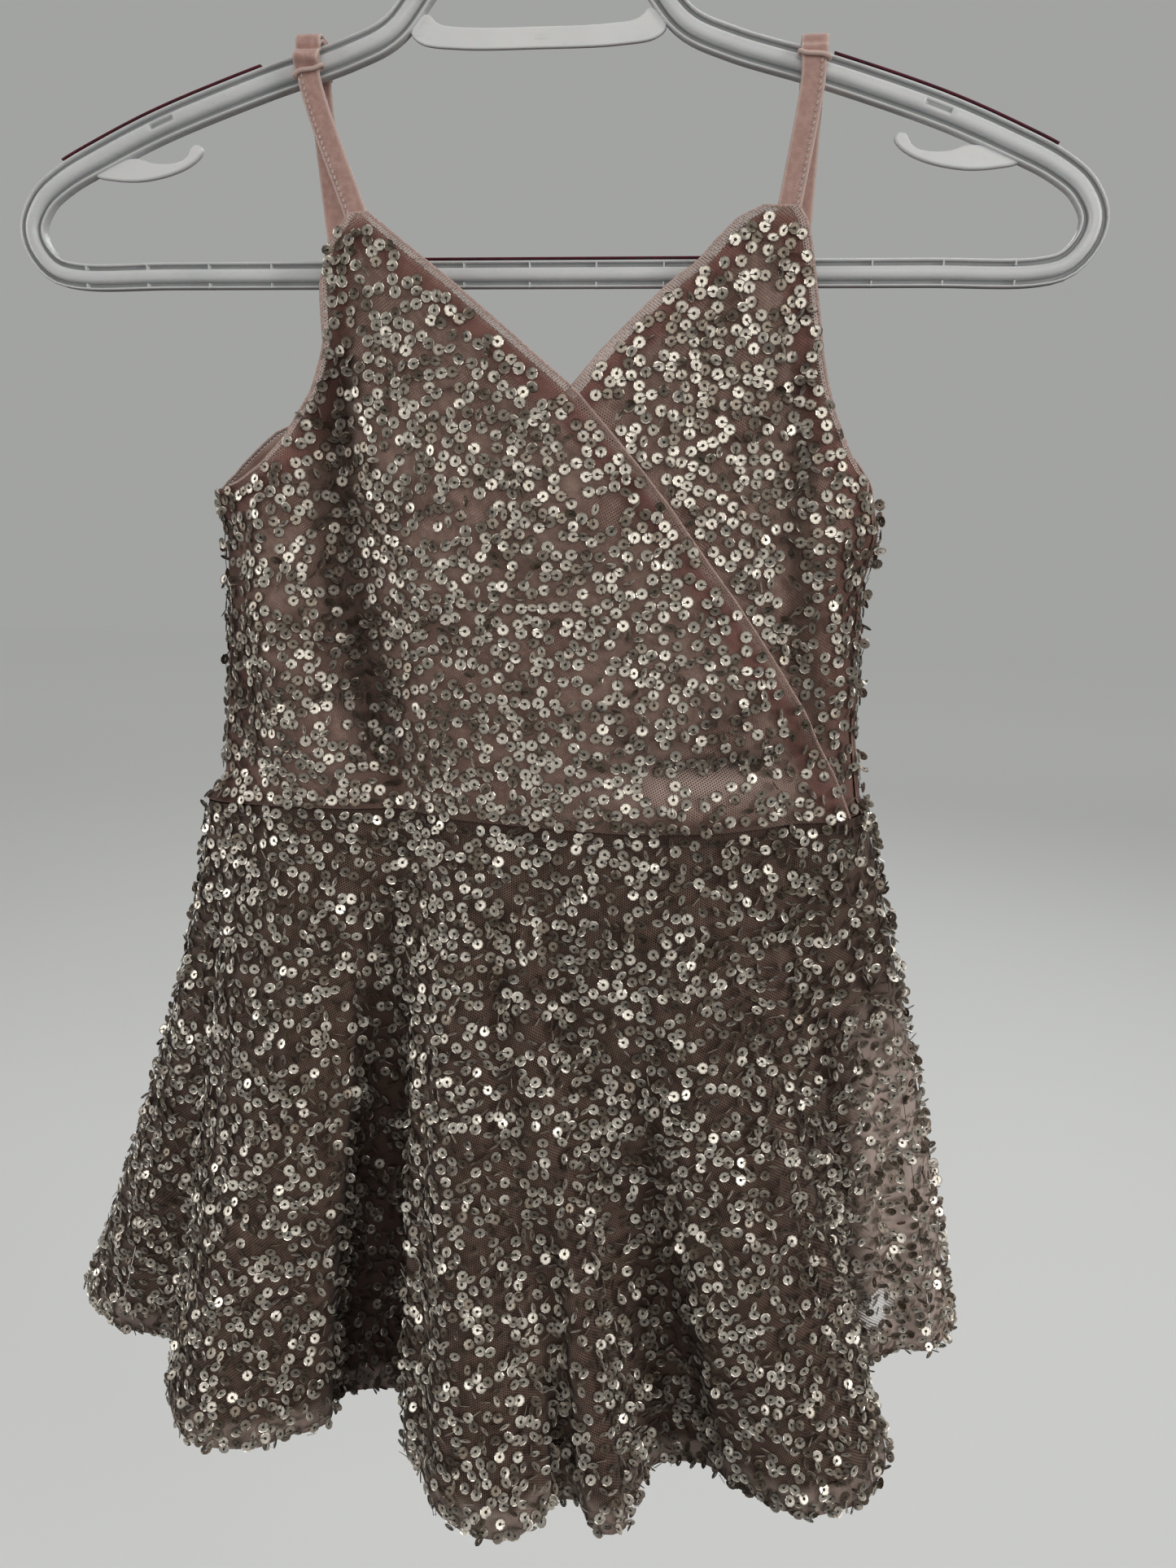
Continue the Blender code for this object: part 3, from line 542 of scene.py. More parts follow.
def mesh_piece(name, points, faces, paint, smooth=True):
    mesh = bpy.data.meshes.new(name)
    faces = faces.reshape(-1, 4).tolist() if isinstance(faces, np.ndarray) else faces
    mesh.from_pydata(np.asarray(points).reshape(-1, 3).tolist(), [], faces)
    mesh.materials.append(paint)
    mesh.polygons.foreach_set("use_smooth", np.full(len(mesh.polygons), smooth))
    mesh.update()
    made = bpy.data.objects.new(name, mesh)
    bpy.context.scene.collection.objects.link(made)
    return made


def marked(made, **marks):
    """Gives each point of a piece the values that its paint reads."""
    for name, values in marks.items():
        values = np.asarray(values, float).ravel()
        made.data.attributes.new(name, "FLOAT", "POINT").data.foreach_set("value", values)


def mapped(made, name, flat):
    """Gives a piece a map, from the flat place of each point."""
    corner = np.empty(len(made.data.loops), np.int32)
    made.data.loops.foreach_get("vertex_index", corner)
    chart = made.data.uv_layers.new(name=name)
    chart.data.foreach_set("uv", flat.reshape(-1, 2)[corner].ravel())


def sheet_piece(name, points, flat, paint, wall=0.0, **marks):
    """A grid of points as one sheet, with its cut as a map in metres, and a thickness where it has one."""
    made = mesh_piece(name, points, grid_faces(*points.shape[:2]), paint)
    mapped(made, "cut", flat)
    marked(made, **marks)
    if wall:
        solid = made.modifiers.new("wall", "SOLIDIFY")
        solid.thickness = wall
        solid.offset = 0.0
    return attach(made, "root")


def tree_of(spots):
    tree = kdtree.KDTree(len(spots))
    for k, spot in enumerate(spots):
        tree.insert(spot, k)
    tree.balance()
    return tree


def away_from(cloth, edges):
    """How far each point of a cloth lies from the given edges."""
    tree = tree_of(np.vstack(edges))
    away = [tree.find(spot)[2] for spot in cloth.points.reshape(-1, 3)]
    return np.array(away).reshape(cloth.rows, cloth.count)


def sequin_shaded(dark, cloth, found):
    """Paints shade on the net between sequins, darker the more of them lie near."""
    tree = tree_of([cloth.read(cloth.points, s, t) for s, t, _ in found])
    near = [len(tree.find_range(spot, CROWD_REACH)) for spot in cloth.points.reshape(-1, 3)]
    crowd = np.clip(np.array(near).reshape(cloth.rows, cloth.count) / CROWD_FULL, 0.0, 1.0)
    return 1 - (1 - dark) * (1 - CROWD_SHADE * crowd)


def soft(depth, off, ends):
    """A soft crease: how far off its line, in widths, and how near its ends."""
    return depth * np.exp(-(off ** 2)) * ends ** 2 * (3 - 2 * ends)


def creased(cloth, table):
    """Raises and sinks a cloth along the soft creases of a table, each a line in the picture's plane."""
    x, z = cloth.points[..., 0], cloth.points[..., 2]
    height = np.zeros_like(x)
    for x0, z0, x1, z1, width, depth in table[1:]:
        way = np.array([x1 - x0, z1 - z0])
        long = np.linalg.norm(way)
        along = ((x - x0) * way[0] + (z - z0) * way[1]) / long ** 2
        off = ((x - x0) * way[1] - (z - z0) * way[0]) / long
        bow = off - 0.06 * long * np.sin(np.pi * np.clip(along, 0, 1))
        height += soft(depth, bow / width, np.clip(np.minimum(along, 1 - along) * 4 + 0.15, 0.0, 1.0))
    cloth.folded(height)


def rippled(cloth, table):
    """The same for a skirt panel, whose creases are lines in its own places across and down."""
    height = np.zeros((cloth.rows, cloth.count))
    for s0, t0, s1, t1, width, depth in table[1:]:
        along = (cloth.t - t0) / (t1 - t0)
        middle = s0 + (s1 - s0) * along + 0.004 * np.sin(6.0 * along + 40 * s0)
        spread = width * (0.55 + 0.6 * np.clip(along, 0, 1))
        off = (cloth.s - middle) * cloth.wide
        height += soft(depth, off / spread, np.clip(np.minimum(along, 1 - along) * 3.5, 0.0, 1.0))
    cloth.folded(height)


def fluted(cloth, table):
    """Deep folds, whose hem hangs lower at the front the further they are pushed in."""
    height = np.zeros((cloth.rows, cloth.count))
    for s0, t0, s1, t1, width, depth in table[1:]:
        along = np.clip((cloth.t - t0) / (t1 - t0), 0, 1)
        off = (cloth.s - s0 - (s1 - s0) * along) * cloth.wide
        grown = along * along * (3 - 2 * along)
        height += depth * grown * np.exp(-np.abs(off / (width * (0.5 + 0.5 * along))) ** 4)
    front = np.clip(-cloth.out[..., 1], 0.0, 1.0)
    cloth.folded(height)
    cloth.points[..., 2] += 0.62 * np.minimum(height, 0.0) * front * cloth.t ** 2
    cloth.settle()


def front_cloth(edges, out):
    """A front panel between its two edges, with its rows spaced evenly down its armhole."""
    rows, count = FRONT_GRID
    top = columns(edges)["z"].max()
    levels = np.linspace(top, WAIST_Z, 600)
    arm = np.clip(at(edges, "z", "outer", levels), -0.124, 0.128)
    heights = evenly(np.stack([levels, arm], -1), np.linspace(0.0, 1.0, rows))[:, 0]
    grid = []
    for share in (heights - top) / (WAIST_Z - top):
        z = top + (WAIST_Z - top) * share
        first, last = (at(edges, "z", name, z) for name in edges[0][1:])
        for _ in range(3):
            a0 = np.maximum(ring_angle(first, z), LEFT_SEAM)
            a1 = np.minimum(ring_angle(last, z), RIGHT_SEAM)
            angle = a0 + (a1 - a0) * np.linspace(0.0, 1.0, count)
            z = lowered(top, share, angle, z)
        grid.append(ring(angle, z))
    made = Cloth(np.array(grid))
    made.raised(np.full((rows, count), out))
    return made


def back_cloth():
    """The back of the bodice, from the right seam to the left."""
    rows, count = BACK_GRID
    first = RIGHT_SEAM + SEAM_TURN
    last = LEFT_SEAM - SEAM_TURN
    share = np.linspace(0.0, 1.0, count)
    angle = first + (2 * np.pi + last - first) * share
    top = at(BACK_TOP, "share", "z", share)
    grid = []
    for down in np.linspace(0.0, 1.0, rows):
        z = top + (WAIST_Z - top) * down
        for _ in range(3):
            z = lowered(top, down, angle, z)
        grid.append(ring(angle, z))
    return Cloth(np.array(grid))


def hem_halves():
    """The front's and the back's share of the closed hem."""
    whole = curve_through(FRONT_HEM[1:] + BACK_HEM[2:-1], closed=True)
    seam = (len(FRONT_HEM) - 2) * RUN_STEPS
    return whole[: seam + 1], whole[seam:]


def skirt_cloth(hem_line, start, end):
    """Straight runs from the waist seam to a hem with the folds' turns, flaring as they go down."""
    rows, count = SKIRT_GRID
    fine = np.linspace(0, 1, 1600)
    hem = evenly(hem_line, fine)
    waist = evenly(waist_ring(np.linspace(start, end, 400)), fine)
    grid = []
    for down in np.linspace(0.0, 1.0, rows):
        line = waist + (hem[:, :3] - waist) * down
        line[:, :2] = waist[:, :2] + (hem[:, :2] - waist[:, :2]) * down ** hem[:, 3:]
        trim = SEAM_GAP / 2 / steps_of(line).sum()
        grid.append(evenly(line, np.linspace(trim, 1 - trim, count)))
    return Cloth(np.array(grid))


class Spots:
    """Points kept in cells, so that the near ones are found fast."""

    def __init__(self):
        self.cells = {}

    def key(self, point):
        return tuple(int(math.floor(v / SPOT_CELL)) for v in point)

    def add(self, point):
        self.cells.setdefault(self.key(point), []).append(point)

    def near(self, point, reach, skip):
        for cell in product(*((k - 1, k, k + 1) for k in self.key(point))):
            for other in self.cells.get(cell, ()):
                if other is not skip and math.dist(other, point) < reach:
                    return True
        return False


def is_sparse(x, z):
    """Whether a place lies in one of the sparse patches, or in the pale one above the waist seam."""
    patch = math.sin(270 * x + 3 * math.sin(115 * z)) * math.sin(250 * z + 3 * math.sin(125 * x))
    patch -= 0.8 * math.exp(-(((x - PALE_X) / 0.030) ** 2) - ((z - BARE_Z) / 0.007) ** 2)
    return patch < -0.40


def lay_sequins(cloth, keep, draw, density, rows, gaps):
    """Meandering stitched rows of sequins over a cloth: place across and down, and the heading of each."""
    number = int(cloth.area() / SEQUIN_AREA * density)
    weights = (cloth.wide * cloth.deep)[:-1, :-1].ravel()
    chance = np.cumsum(weights) / weights.sum()
    spots = Spots()
    found = []
    for level in rows:
        s = draw.uniform(0.0, 0.01)
        while s < 1:
            t = min(max(level + draw.normal(0, 0.004), 0.0), 1.0)
            if keep(s, t):
                spots.add(tuple(cloth.read(cloth.points, s, t)))
                found.append((s, t, draw.uniform(-0.6, 0.6)))
            s += draw.uniform(*SEAM_PITCH) / cloth.read(cloth.wide, s, t)
    for attempt in range(number * 5):
        if len(found) >= number:
            break
        cell = int(np.searchsorted(chance, draw.random()))
        s = (cell % (cloth.count - 1) + draw.random()) / (cloth.count - 1)
        t = (cell // (cloth.count - 1) + draw.random()) / (cloth.rows - 1)
        heading = draw.uniform(0, 2 * math.pi)
        bend = draw.normal(0, BEND_START)
        clear = START_CLEAR if attempt < number * 2 else LATE_CLEAR
        last = None
        for _ in range(int(draw.integers(*ROW_LENGTH))):
            if not (0 <= s <= 1 and 0 <= t <= 1) or not keep(s, t):
                break
            point = tuple(cloth.read(cloth.points, s, t))
            if is_sparse(point[0], point[2]) and draw.random() < gaps:
                break
            if spots.near(point, clear if last is None else ROW_CLEAR, last):
                break
            spots.add(point)
            found.append((s, t, heading))
            last = point
            bend = BEND_KEPT * bend + draw.normal(0, BEND_STEP)
            heading += bend
            s, t = cloth.moved(s, t, heading, draw.uniform(*ROW_PITCH))
    return found


def sequin_piece(name, cloth, places, draw, lift, paints, loose):
    """One mesh of cup sequins, each turned a little its own way, with the stitch that holds it."""
    count = len(places)
    s, t, heading = np.array(places).T
    centre = cloth.read_all(cloth.points, s, t)
    out = unit(cloth.read_all(cloth.out, s, t))
    across = square_to(unit(cloth.read_all(cloth.across, s, t)), out)
    down = np.cross(across, out)
    kind = draw.random(count)
    # How deep in a fold each sequin lies: it leans more there and takes painted shade.
    deep_in = cloth.read_all(cloth.shade(FOLD_DEPTH[loose]), s, t)
    kind = kind + 0.30 * deep_in + np.clip(0.55 * out[:, 0], -0.25, 0.30) * (0.4 + 0.6 * loose)
    lean = np.abs(draw.normal(0, 0.15 + 0.11 * loose, count))
    lean = np.where(kind > 0.76 - 0.26 * loose, draw.uniform(0.35, 0.85, count), lean)
    lean = np.where(kind > 0.93 - 0.17 * loose, draw.uniform(0.85, 1.30, count), lean)
    tilt_way = turned(across, down, draw.uniform(0, 2 * np.pi, count))
    normal = turned(out, tilt_way, lean)
    ex = square_to(turned(across, down, heading), normal)
    ey = np.cross(normal, ex)
    cup = np.where(draw.random(count) < 0.8, 1.0, -1.0)
    size = draw.uniform(0.94, 1.05, count)
    layer = draw.uniform(0.0, 0.0005, count)
    rise = lift + layer + 0.00045 + SEQUIN_RIM * np.sin(lean) * 0.85
    centre = centre + out * rise[:, None]
    angles = np.linspace(0, 2 * np.pi, SEQUIN_SIDES, endpoint=False)
    wheel = np.stack([np.cos(angles), np.sin(angles)], -1)
    rings = []
    for radius, height in SEQUIN_PROFILE:
        flat = ex[:, None] * wheel[None, :, :1] + ey[:, None] * wheel[None, :, 1:]
        up = (normal * (cup * height)[:, None])[:, None]
        rings.append(centre[:, None] + flat * (radius * size)[:, None, None] + up)
    own = len(rings) * SEQUIN_SIDES
    faces = repeated(grid_faces(len(rings), SEQUIN_SIDES, wrap=True), count, own)
    faces = np.where((cup > 0)[:, None, None], faces, faces[..., ::-1])
    made = mesh_piece(name, np.stack(rings, 1), faces, paints[0], smooth=False)
    tone = draw.random(count)
    # Painted shade: a dark crescent on one side of about half the sequins, standing for the dark their cup walls
    # reflect.
    worn_from = draw.uniform(0, 2 * np.pi, count)[:, None, None]
    reach = np.cos(draw.uniform(0.7, 1.5, count))[:, None, None]
    shade_amount = np.where(draw.random(count) < 0.55, draw.uniform(0.6, 1.0, count), 0.0)[:, None, None]
    part = (np.cos(angles[None, None, :] - worn_from) > reach) * np.array([0.7, 1.0, 1.0])[None, :, None]
    marked(made, tone=np.repeat(tone, own), dark=np.repeat(deep_in, own), worn=part * shade_amount)
    side_count = math.ceil(math.sqrt(count))
    cell = np.arange(count)
    corner = np.stack([cell % side_count, cell // side_count], -1) + 0.5
    spread = np.array([0.12, 0.28, 0.42])
    chart = corner[:, None, None] + wheel[None, None] * spread[None, :, None, None]
    mapped(made, "OFBake", chart / side_count)
    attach(made, "root")
    stitches = name.replace("sequins", "stitches")
    return [made, stitch_piece(stitches, centre, normal, ex, ey, out, rise, size, paints[1])]


def stitch_piece(name, centre, normal, ex, ey, out, rise, size, paint):
    """The thread of each sequin, from its hole over its rim and down to the cloth; its cross over the hole
    carries the hole's painted shade.
    """
    reach = (SEQUIN_RIM * size)[:, None]
    near = centre - ex * THREAD_REACH + normal * THREAD_LIFT
    stations = (
        (centre + ex * THREAD_REACH + normal * THREAD_LIFT, CROSS_HALF),
        (near, CROSS_HALF),
        (near, THREAD_LIFT),
        (centre - ex * reach * 0.98 + normal * (SEQUIN_DEPTH + 0.0001), THREAD_HALF),
        (centre - ex * reach * 1.25 - out * (rise * 0.9)[:, None], THREAD_HALF),
    )
    verts = np.stack([station + ey * a * half for station, half in stations for a in (-1, 1)], 1)
    band = np.array([(0, 2, 3, 1), (4, 6, 7, 5), (6, 8, 9, 7)])
    made = mesh_piece(name, verts, repeated(band, len(centre), 2 * len(stations)), paint)
    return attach(made, "root")


def tube(name, line, size, paint, sides, closed=False, up=(0.0, -1.0, 0.0), taper=1.0, square=1.0):
    """A rope along a line: size gives its half width and half height, and a low square squares its section."""
    line = np.asarray(line)
    rows = len(line)
    tangent = tangent_round(line) if closed else unit(np.gradient(line, axis=0))
    ex = unit(np.cross(tangent, np.broadcast_to(np.asarray(up), line.shape)))
    ey = unit(np.cross(ex, tangent))
    a, b = (squared(v, square) * half for v, half in zip(circle(sides), size))
    scale = np.broadcast_to(taper, rows)[:, None, None]
    verts = line[:, None] + scale * (ex[:, None] * a[None, :, None] + ey[:, None] * b[None, :, None])
    faces = grid_faces(rows + 1, sides, wrap=True) % (rows * sides) if closed else capped(rows, sides)
    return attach(mesh_piece(name, verts, faces, paint), "root")


class Paint:
    """A node material, built up from short calls. A value is a number, a colour or another node's output."""

    def __init__(self, name, roughness=0.6, **fixed):
        self.made = bpy.data.materials.new(name)
        self.made.use_nodes = True
        self.tree = self.made.node_tree
        self.shader = self.tree.nodes["Principled BSDF"]
        self.shader.inputs["Roughness"].default_value = roughness
        for key, value in fixed.items():
            self.shader.inputs[key.replace("_", " ")].default_value = value

    def put(self, value, socket):
        if isinstance(value, bpy.types.NodeSocket):
            self.tree.links.new(value, socket)
        elif isinstance(value, tuple) and len(value) == 3 and socket.type == "RGBA":
            socket.default_value = (*value, 1.0)
        else:
            socket.default_value = value

    def give(self, name, value):
        self.put(value, self.shader.inputs[name])

    def math(self, operation, *values):
        node = self.tree.nodes.new("ShaderNodeMath")
        node.operation = operation
        for socket, value in zip(node.inputs, values):
            self.put(value, socket)
        return node.outputs[0]

    def span(self, value, low, high, to_low=0.0, to_high=1.0):
        node = self.tree.nodes.new("ShaderNodeMapRange")
        node.interpolation_type = "SMOOTHSTEP"
        for socket, given in zip(node.inputs, (value, low, high, to_low, to_high)):
            self.put(given, socket)
        return node.outputs[0]

    def mix(self, share, first, second):
        node = self.tree.nodes.new("ShaderNodeMix")
        node.data_type = "RGBA"
        self.put(share, node.inputs[0])
        self.put(first, node.inputs[6])
        self.put(second, node.inputs[7])
        return node.outputs[2]

    def coat(self, share, most, under, over):
        """The base colour: one tone over another, as far as a share says and no more than most."""
        self.give("Base Color", self.mix(self.math("MULTIPLY", share, most), under, over))

    def place(self):
        return self.tree.nodes.new("ShaderNodeTexCoord").outputs["Object"]

    def cut(self):
        node = self.tree.nodes.new("ShaderNodeUVMap")
        node.uv_map = "cut"
        return node.outputs[0]

    def mark(self, name):
        node = self.tree.nodes.new("ShaderNodeAttribute")
        node.attribute_name = name
        return node.outputs["Fac"]

    def stretched(self, vector, scale):
        node = self.tree.nodes.new("ShaderNodeVectorMath")
        node.operation = "MULTIPLY"
        self.put(vector, node.inputs[0])
        node.inputs[1].default_value = scale
        return node.outputs[0]

    def noise(self, vector, scale, detail=3.0, rough=0.55):
        node = self.tree.nodes.new("ShaderNodeTexNoise")
        self.put(vector, node.inputs["Vector"])
        node.inputs["Scale"].default_value = scale
        node.inputs["Detail"].default_value = detail
        node.inputs["Roughness"].default_value = rough
        return node.outputs["Fac"]

    def bump(self, height, strength, distance):
        node = self.tree.nodes.new("ShaderNodeBump")
        node.inputs["Strength"].default_value = strength
        node.inputs["Distance"].default_value = distance
        self.put(height, node.inputs["Height"])
        self.put(node.outputs[0], self.shader.inputs["Normal"])

    def waves(self, vector, pitch, turns):
        """The sum of plane waves that run at the given turns, -3 to 3 for three of them."""
        parts = self.tree.nodes.new("ShaderNodeSeparateXYZ")
        self.put(vector, parts.inputs[0])
        total = None
        for turn in turns:
            ahead = self.math("MULTIPLY", parts.outputs[0], math.cos(turn) * 2 * math.pi / pitch)
            beside = self.math("MULTIPLY", parts.outputs[1], math.sin(turn) * 2 * math.pi / pitch)
            wave = self.math("COSINE", self.math("ADD", ahead, beside))
            total = wave if total is None else self.math("ADD", total, wave)
        return total


def net_paint(name, thread, hole_shade, cover):
    """Fine net: threads around six-sided holes painted dark as shade, and clear in the middle where cover is
    low.
    """
    paint = Paint(name, 0.78, Sheen_Weight=0.12, Specular_IOR_Level=0.2)
    turns = (0.0, math.pi / 3, 2 * math.pi / 3)
    wave = paint.waves(paint.cut(), NET_CELL * math.sqrt(3) / 2, turns)
    cloud = paint.noise(paint.place(), 60.0)
    worn = paint.noise(paint.place(), 900.0, 2.0)
    dark = tuple(v * 0.72 for v in thread)
    colour = paint.mix(paint.span(cloud, 0.3, 0.7), dark, thread)
    pale = tuple(min(v * 1.7, 0.8) for v in thread)
    colour = paint.mix(paint.span(worn, 0.35, 0.75, 0.0, 0.35), colour, pale)
    colour = paint.mix(paint.span(wave, -0.5, 0.7), colour, hole_shade)
    # Painted light where marked pale: above the bodice's waist and on the skirt's side flute; the skirt's hem
    # band is paler net.
    colour = paint.mix(paint.mark("pale"), colour, PALE_TONE)
    colour = paint.mix(paint.mark("rose"), colour, (0.250, 0.085, 0.068))
    # Painted shade in folds, at the waist seam and between sequins.
    paint.coat(paint.mark("dark"), 0.85, colour, FOLD_SHADE_TONE)
    open_wave = paint.math("ADD", wave, paint.math("MULTIPLY", paint.mark("sheer"), 4.6))
    paint.give("Alpha", paint.span(open_wave, cover + 0.4, cover - 0.4))
    paint.bump(paint.math("MULTIPLY", wave, -0.3), 0.35, 0.0001)
    return paint.made


def lining_paint():
    """Dusty pink knit, deeper in the turned band along its open edges."""
    paint = Paint("lining_knit", 0.8, Sheen_Weight=0.3, Specular_IOR_Level=0.25)
    near = paint.mark("edge")
    wander = paint.noise(paint.place(), 120.0, 2.0)
    edge = paint.math("ADD", near, paint.math("MULTIPLY", wander, 0.004))
    band = paint.span(edge, 0.0105, 0.0145, 0.9, 0.0)
    cloud = paint.span(paint.noise(paint.place(), 38.0, 3.0), 0.35, 0.68)
    body = paint.mix(cloud, (0.225, 0.108, 0.080), (0.470, 0.318, 0.262))
    body = paint.mix(band, body, (0.330, 0.140, 0.120))
    # Painted shade in folds.
    paint.coat(paint.mark("dark"), 0.85, body, FOLD_SHADE_TONE)
    loops = paint.waves(paint.cut(), 0.0006, (0.0, math.pi / 2))
    paint.bump(loops, 0.35, 0.00008)
    paint.give("Roughness", paint.span(cloud, 0.0, 1.0, 0.72, 0.88))
    return paint.made


def sequin_paint(name, dull, bright):
    """Thin metallised film, each sequin of its own tone, with fine scuffs, a painted dark crescent for the shade
    in its cup, and painted shade in folds.
    """
    paint = Paint(name, 0.3, Metallic=0.55)
    own = paint.mark("tone")
    tone = paint.mix(paint.span(own, 0.05, 0.75), dull, bright)
    scuff = paint.noise(paint.place(), 2600.0, 2.0)
    tone = paint.mix(paint.span(scuff, 0.45, 0.8, 0.0, 0.35), tone, dull)
    # Painted shade: the dark crescent in the cup.
    tone = paint.mix(paint.math("MULTIPLY", paint.mark("worn"), 0.85), tone, (0.060, 0.036, 0.023))
    # Painted shade in folds.
    paint.coat(paint.mark("dark"), 0.78, tone, (0.070, 0.044, 0.030))
    paint.give("Roughness", paint.span(scuff, 0.3, 0.8, 0.24, 0.42))
    paint.bump(scuff, 0.12, 0.0001)
    return paint.made


def thread_paint(name, colour, pitch=0.0004):
    paint = Paint(name, 0.65, Sheen_Weight=0.2)
    twist = paint.noise(paint.place(), 1.0 / pitch, 2.0)
    dark = tuple(v * 0.6 for v in colour)
    paint.give("Base Color", paint.mix(paint.span(twist, 0.35, 0.7), dark, colour))
    paint.bump(twist, 0.4, 0.0001)
    return paint.made


def strap_paint():
    """Folded satin band: fine ribs across, paler along its folded edges."""
    paint = Paint("strap_satin", 0.5, Sheen_Weight=0.35, Specular_IOR_Level=0.4)
    ribs = paint.waves(paint.cut(), 0.00055, (math.pi / 2,))
    grain = paint.noise(paint.place(), 420.0)
    edge = paint.span(paint.mark("edge"), 0.00135, 0.0002)
    body = paint.mix(paint.span(grain, 0.3, 0.72), (0.455, 0.265, 0.222), (0.565, 0.355, 0.305))
    paint.coat(edge, 0.65, body, (0.76, 0.60, 0.54))
    paint.give("Roughness", paint.span(grain, 0.3, 0.7, 0.42, 0.62))
    paint.bump(paint.math("ADD", ribs, paint.math("MULTIPLY", grain, 2.0)), 0.25, 0.00008)
    return paint.made


def plastic_paint(name, light, dark, roughness):
    """Moulded satin plastic with a faint mottle, a fine skin, small scuffs and painted shade in its grooves."""
    paint = Paint(name, roughness, Subsurface_Weight=0.15, Subsurface_Scale=0.002)
    cloud = paint.noise(paint.place(), 30.0)
    skin = paint.noise(paint.place(), 1500.0, 2.0)
    scuff = paint.noise(paint.stretched(paint.place(), (90.0, 300.0, 420.0)), 1.0, 4.0, 0.7)
    mark = paint.span(scuff, 0.60, 0.74, 0.0, 0.5)
    body = paint.mix(paint.span(cloud, 0.3, 0.7), dark, light)
    body = paint.mix(mark, body, tuple(v * 0.86 for v in dark))
    # Painted shade in the grooves and slots.
    paint.coat(paint.mark("groove"), 0.65, body, (0.17, 0.178, 0.182))
    paint.give("Roughness", paint.span(scuff, 0.3, 0.75, roughness - 0.06, roughness + 0.14))
    paint.bump(paint.math("ADD", skin, paint.math("MULTIPLY", cloud, 2.0)), 0.10, 0.0002)
    return paint.made


def rubber_paint():
    paint = Paint("grip_skin", 0.6)
    grain = paint.noise(paint.place(), 700.0)
    colour = paint.mix(paint.span(grain, 0.3, 0.7), (0.060, 0.006, 0.014), (0.145, 0.013, 0.031))
    paint.give("Base Color", colour)
    paint.give("Roughness", paint.span(grain, 0.3, 0.7, 0.5, 0.75))
    paint.bump(grain, 0.3, 0.0001)
    return paint.made


def inset(cloth, left, right, top):
    """The part of a cloth that lies in from its edges by the given distances, one for each row or column."""
    rows = []
    for place in np.linspace(min(top / cloth.length, 0.4), 1.0, cloth.rows):
        long, a, b = (
            np.interp(place * (cloth.rows - 1), np.arange(cloth.rows), values)
            for values in (cloth.widths, left, right)
        )
        shares = np.linspace(min(a / long, 0.42), 1 - min(b / long, 0.42), cloth.count)
        rows.append([cloth.read(cloth.points, s, place) for s in shares])
    made = Cloth(np.array(rows))
    made.fold = cloth.fold
    return made


def edge_strip(name, cloth, column, first, last, width, paint):
    """A narrow turned strip along the first or last column of a cloth, between two of its rows."""
    grid = []
    for i in range(first, last):
        reach = min(width / cloth.widths[i], 0.48)
        shares = np.linspace(1 - reach, 1, 4) if column else np.linspace(0, reach, 4)
        grid.append([cloth.lifted(s, i / (cloth.rows - 1), TURN_LIFT) for s in shares])
    strip = Cloth(np.array(grid))
    fade = EDGE_FADE[::-1] if column else EDGE_FADE
    return sheet_piece(name, strip.points, strip.flat, paint, sheer=np.broadcast_to(fade, (strip.rows, 4)))


def edge_cord(name, line, out, half, paint):
    return tube(name, line, (half, half * 0.7), paint, 6, up=out)


def hem_band(name, cloth, paint):
    """The turned hem inside a skirt panel."""
    grid = []
    for share in np.linspace(0.0, 1.0, 5):
        down = 1 - HEM_TURN / cloth.deep[-1] * (1 - share)
        grid.append([cloth.lifted(j / (cloth.count - 1), t, -NET_LIFT) for j, t in enumerate(down)])
    band = Cloth(np.array(grid))
    return sheet_piece(name, band.points, band.flat, paint)


def hem_hangers(cloth, draw, pitch):
    """Places of the sequins that hang over a hem's edge."""
    width = cloth.widths[-1]
    found = []
    along = 0.003
    while along < width - 0.003:
        found.append((along / width, 1.0 - draw.uniform(-0.002, 0.009), draw.uniform(0, 2 * math.pi)))
        along += draw.uniform(0.4, 1.6) * pitch
    return found


def strap_line(row, count):
    """A strap's middle line, from the front panel over the arm to the back."""
    rise = ARM_SIZE * FRAME_HALF_HEIGHT + STRAP_WALL / 2 + STRAP_LIFT - 0.0008
    turns = [(STRAP_REACH, -0.75), (STRAP_REACH, 0.35), (0.6 * STRAP_REACH, 0.92), (0.0, 1.08)]
    line = [(row["front_x"], row["front_y"], row["front_z"])]
    line += [(row["arm_x"], -y, row["arm_z"] + h * rise) for y, h in turns]
    line += [(row["arm_x"], y, row["arm_z"] + h * rise) for y, h in reversed(turns[:-1])]
    line += [(row["back_x"], row["back_y"], row["back_z"])]
    return smooth_through(line, count)


def strap_frames(line):
    tangent = unit(np.gradient(line, axis=0))
    across = square_to(np.array([1.0, 0.0, 0.0]), tangent)
    return across, np.cross(across, tangent)


def band_piece(name, line, width, wall, paint, lift=0.0):
    """A folded band along a line, with rounded edges a little thicker than its middle."""
    across, out = strap_frames(line)
    line = line + out * np.reshape(lift, (-1, 1))
    shape = (len(line), BAND_SIDES)
    c, s = circle(BAND_SIDES)
    a = squared(c, 0.55)
    b = squared(s, 0.7) * (0.78 + 0.22 * np.abs(a) ** 3)
    beside_line = across[:, None] * (a * width / 2)[None, :, None]
    verts = line[:, None] + beside_line + out[:, None] * (b * wall / 2)[None, :, None]
    made = mesh_piece(name, verts, capped(*shape), paint)
    along = np.repeat(run_of(line)[:, None], BAND_SIDES, 1)
    mapped(made, "cut", np.stack([np.broadcast_to(a * width / 2, shape), along], -1))
    marked(made, edge=np.broadcast_to((1 - np.abs(a)) * width / 2, shape))
    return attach(made, "root")


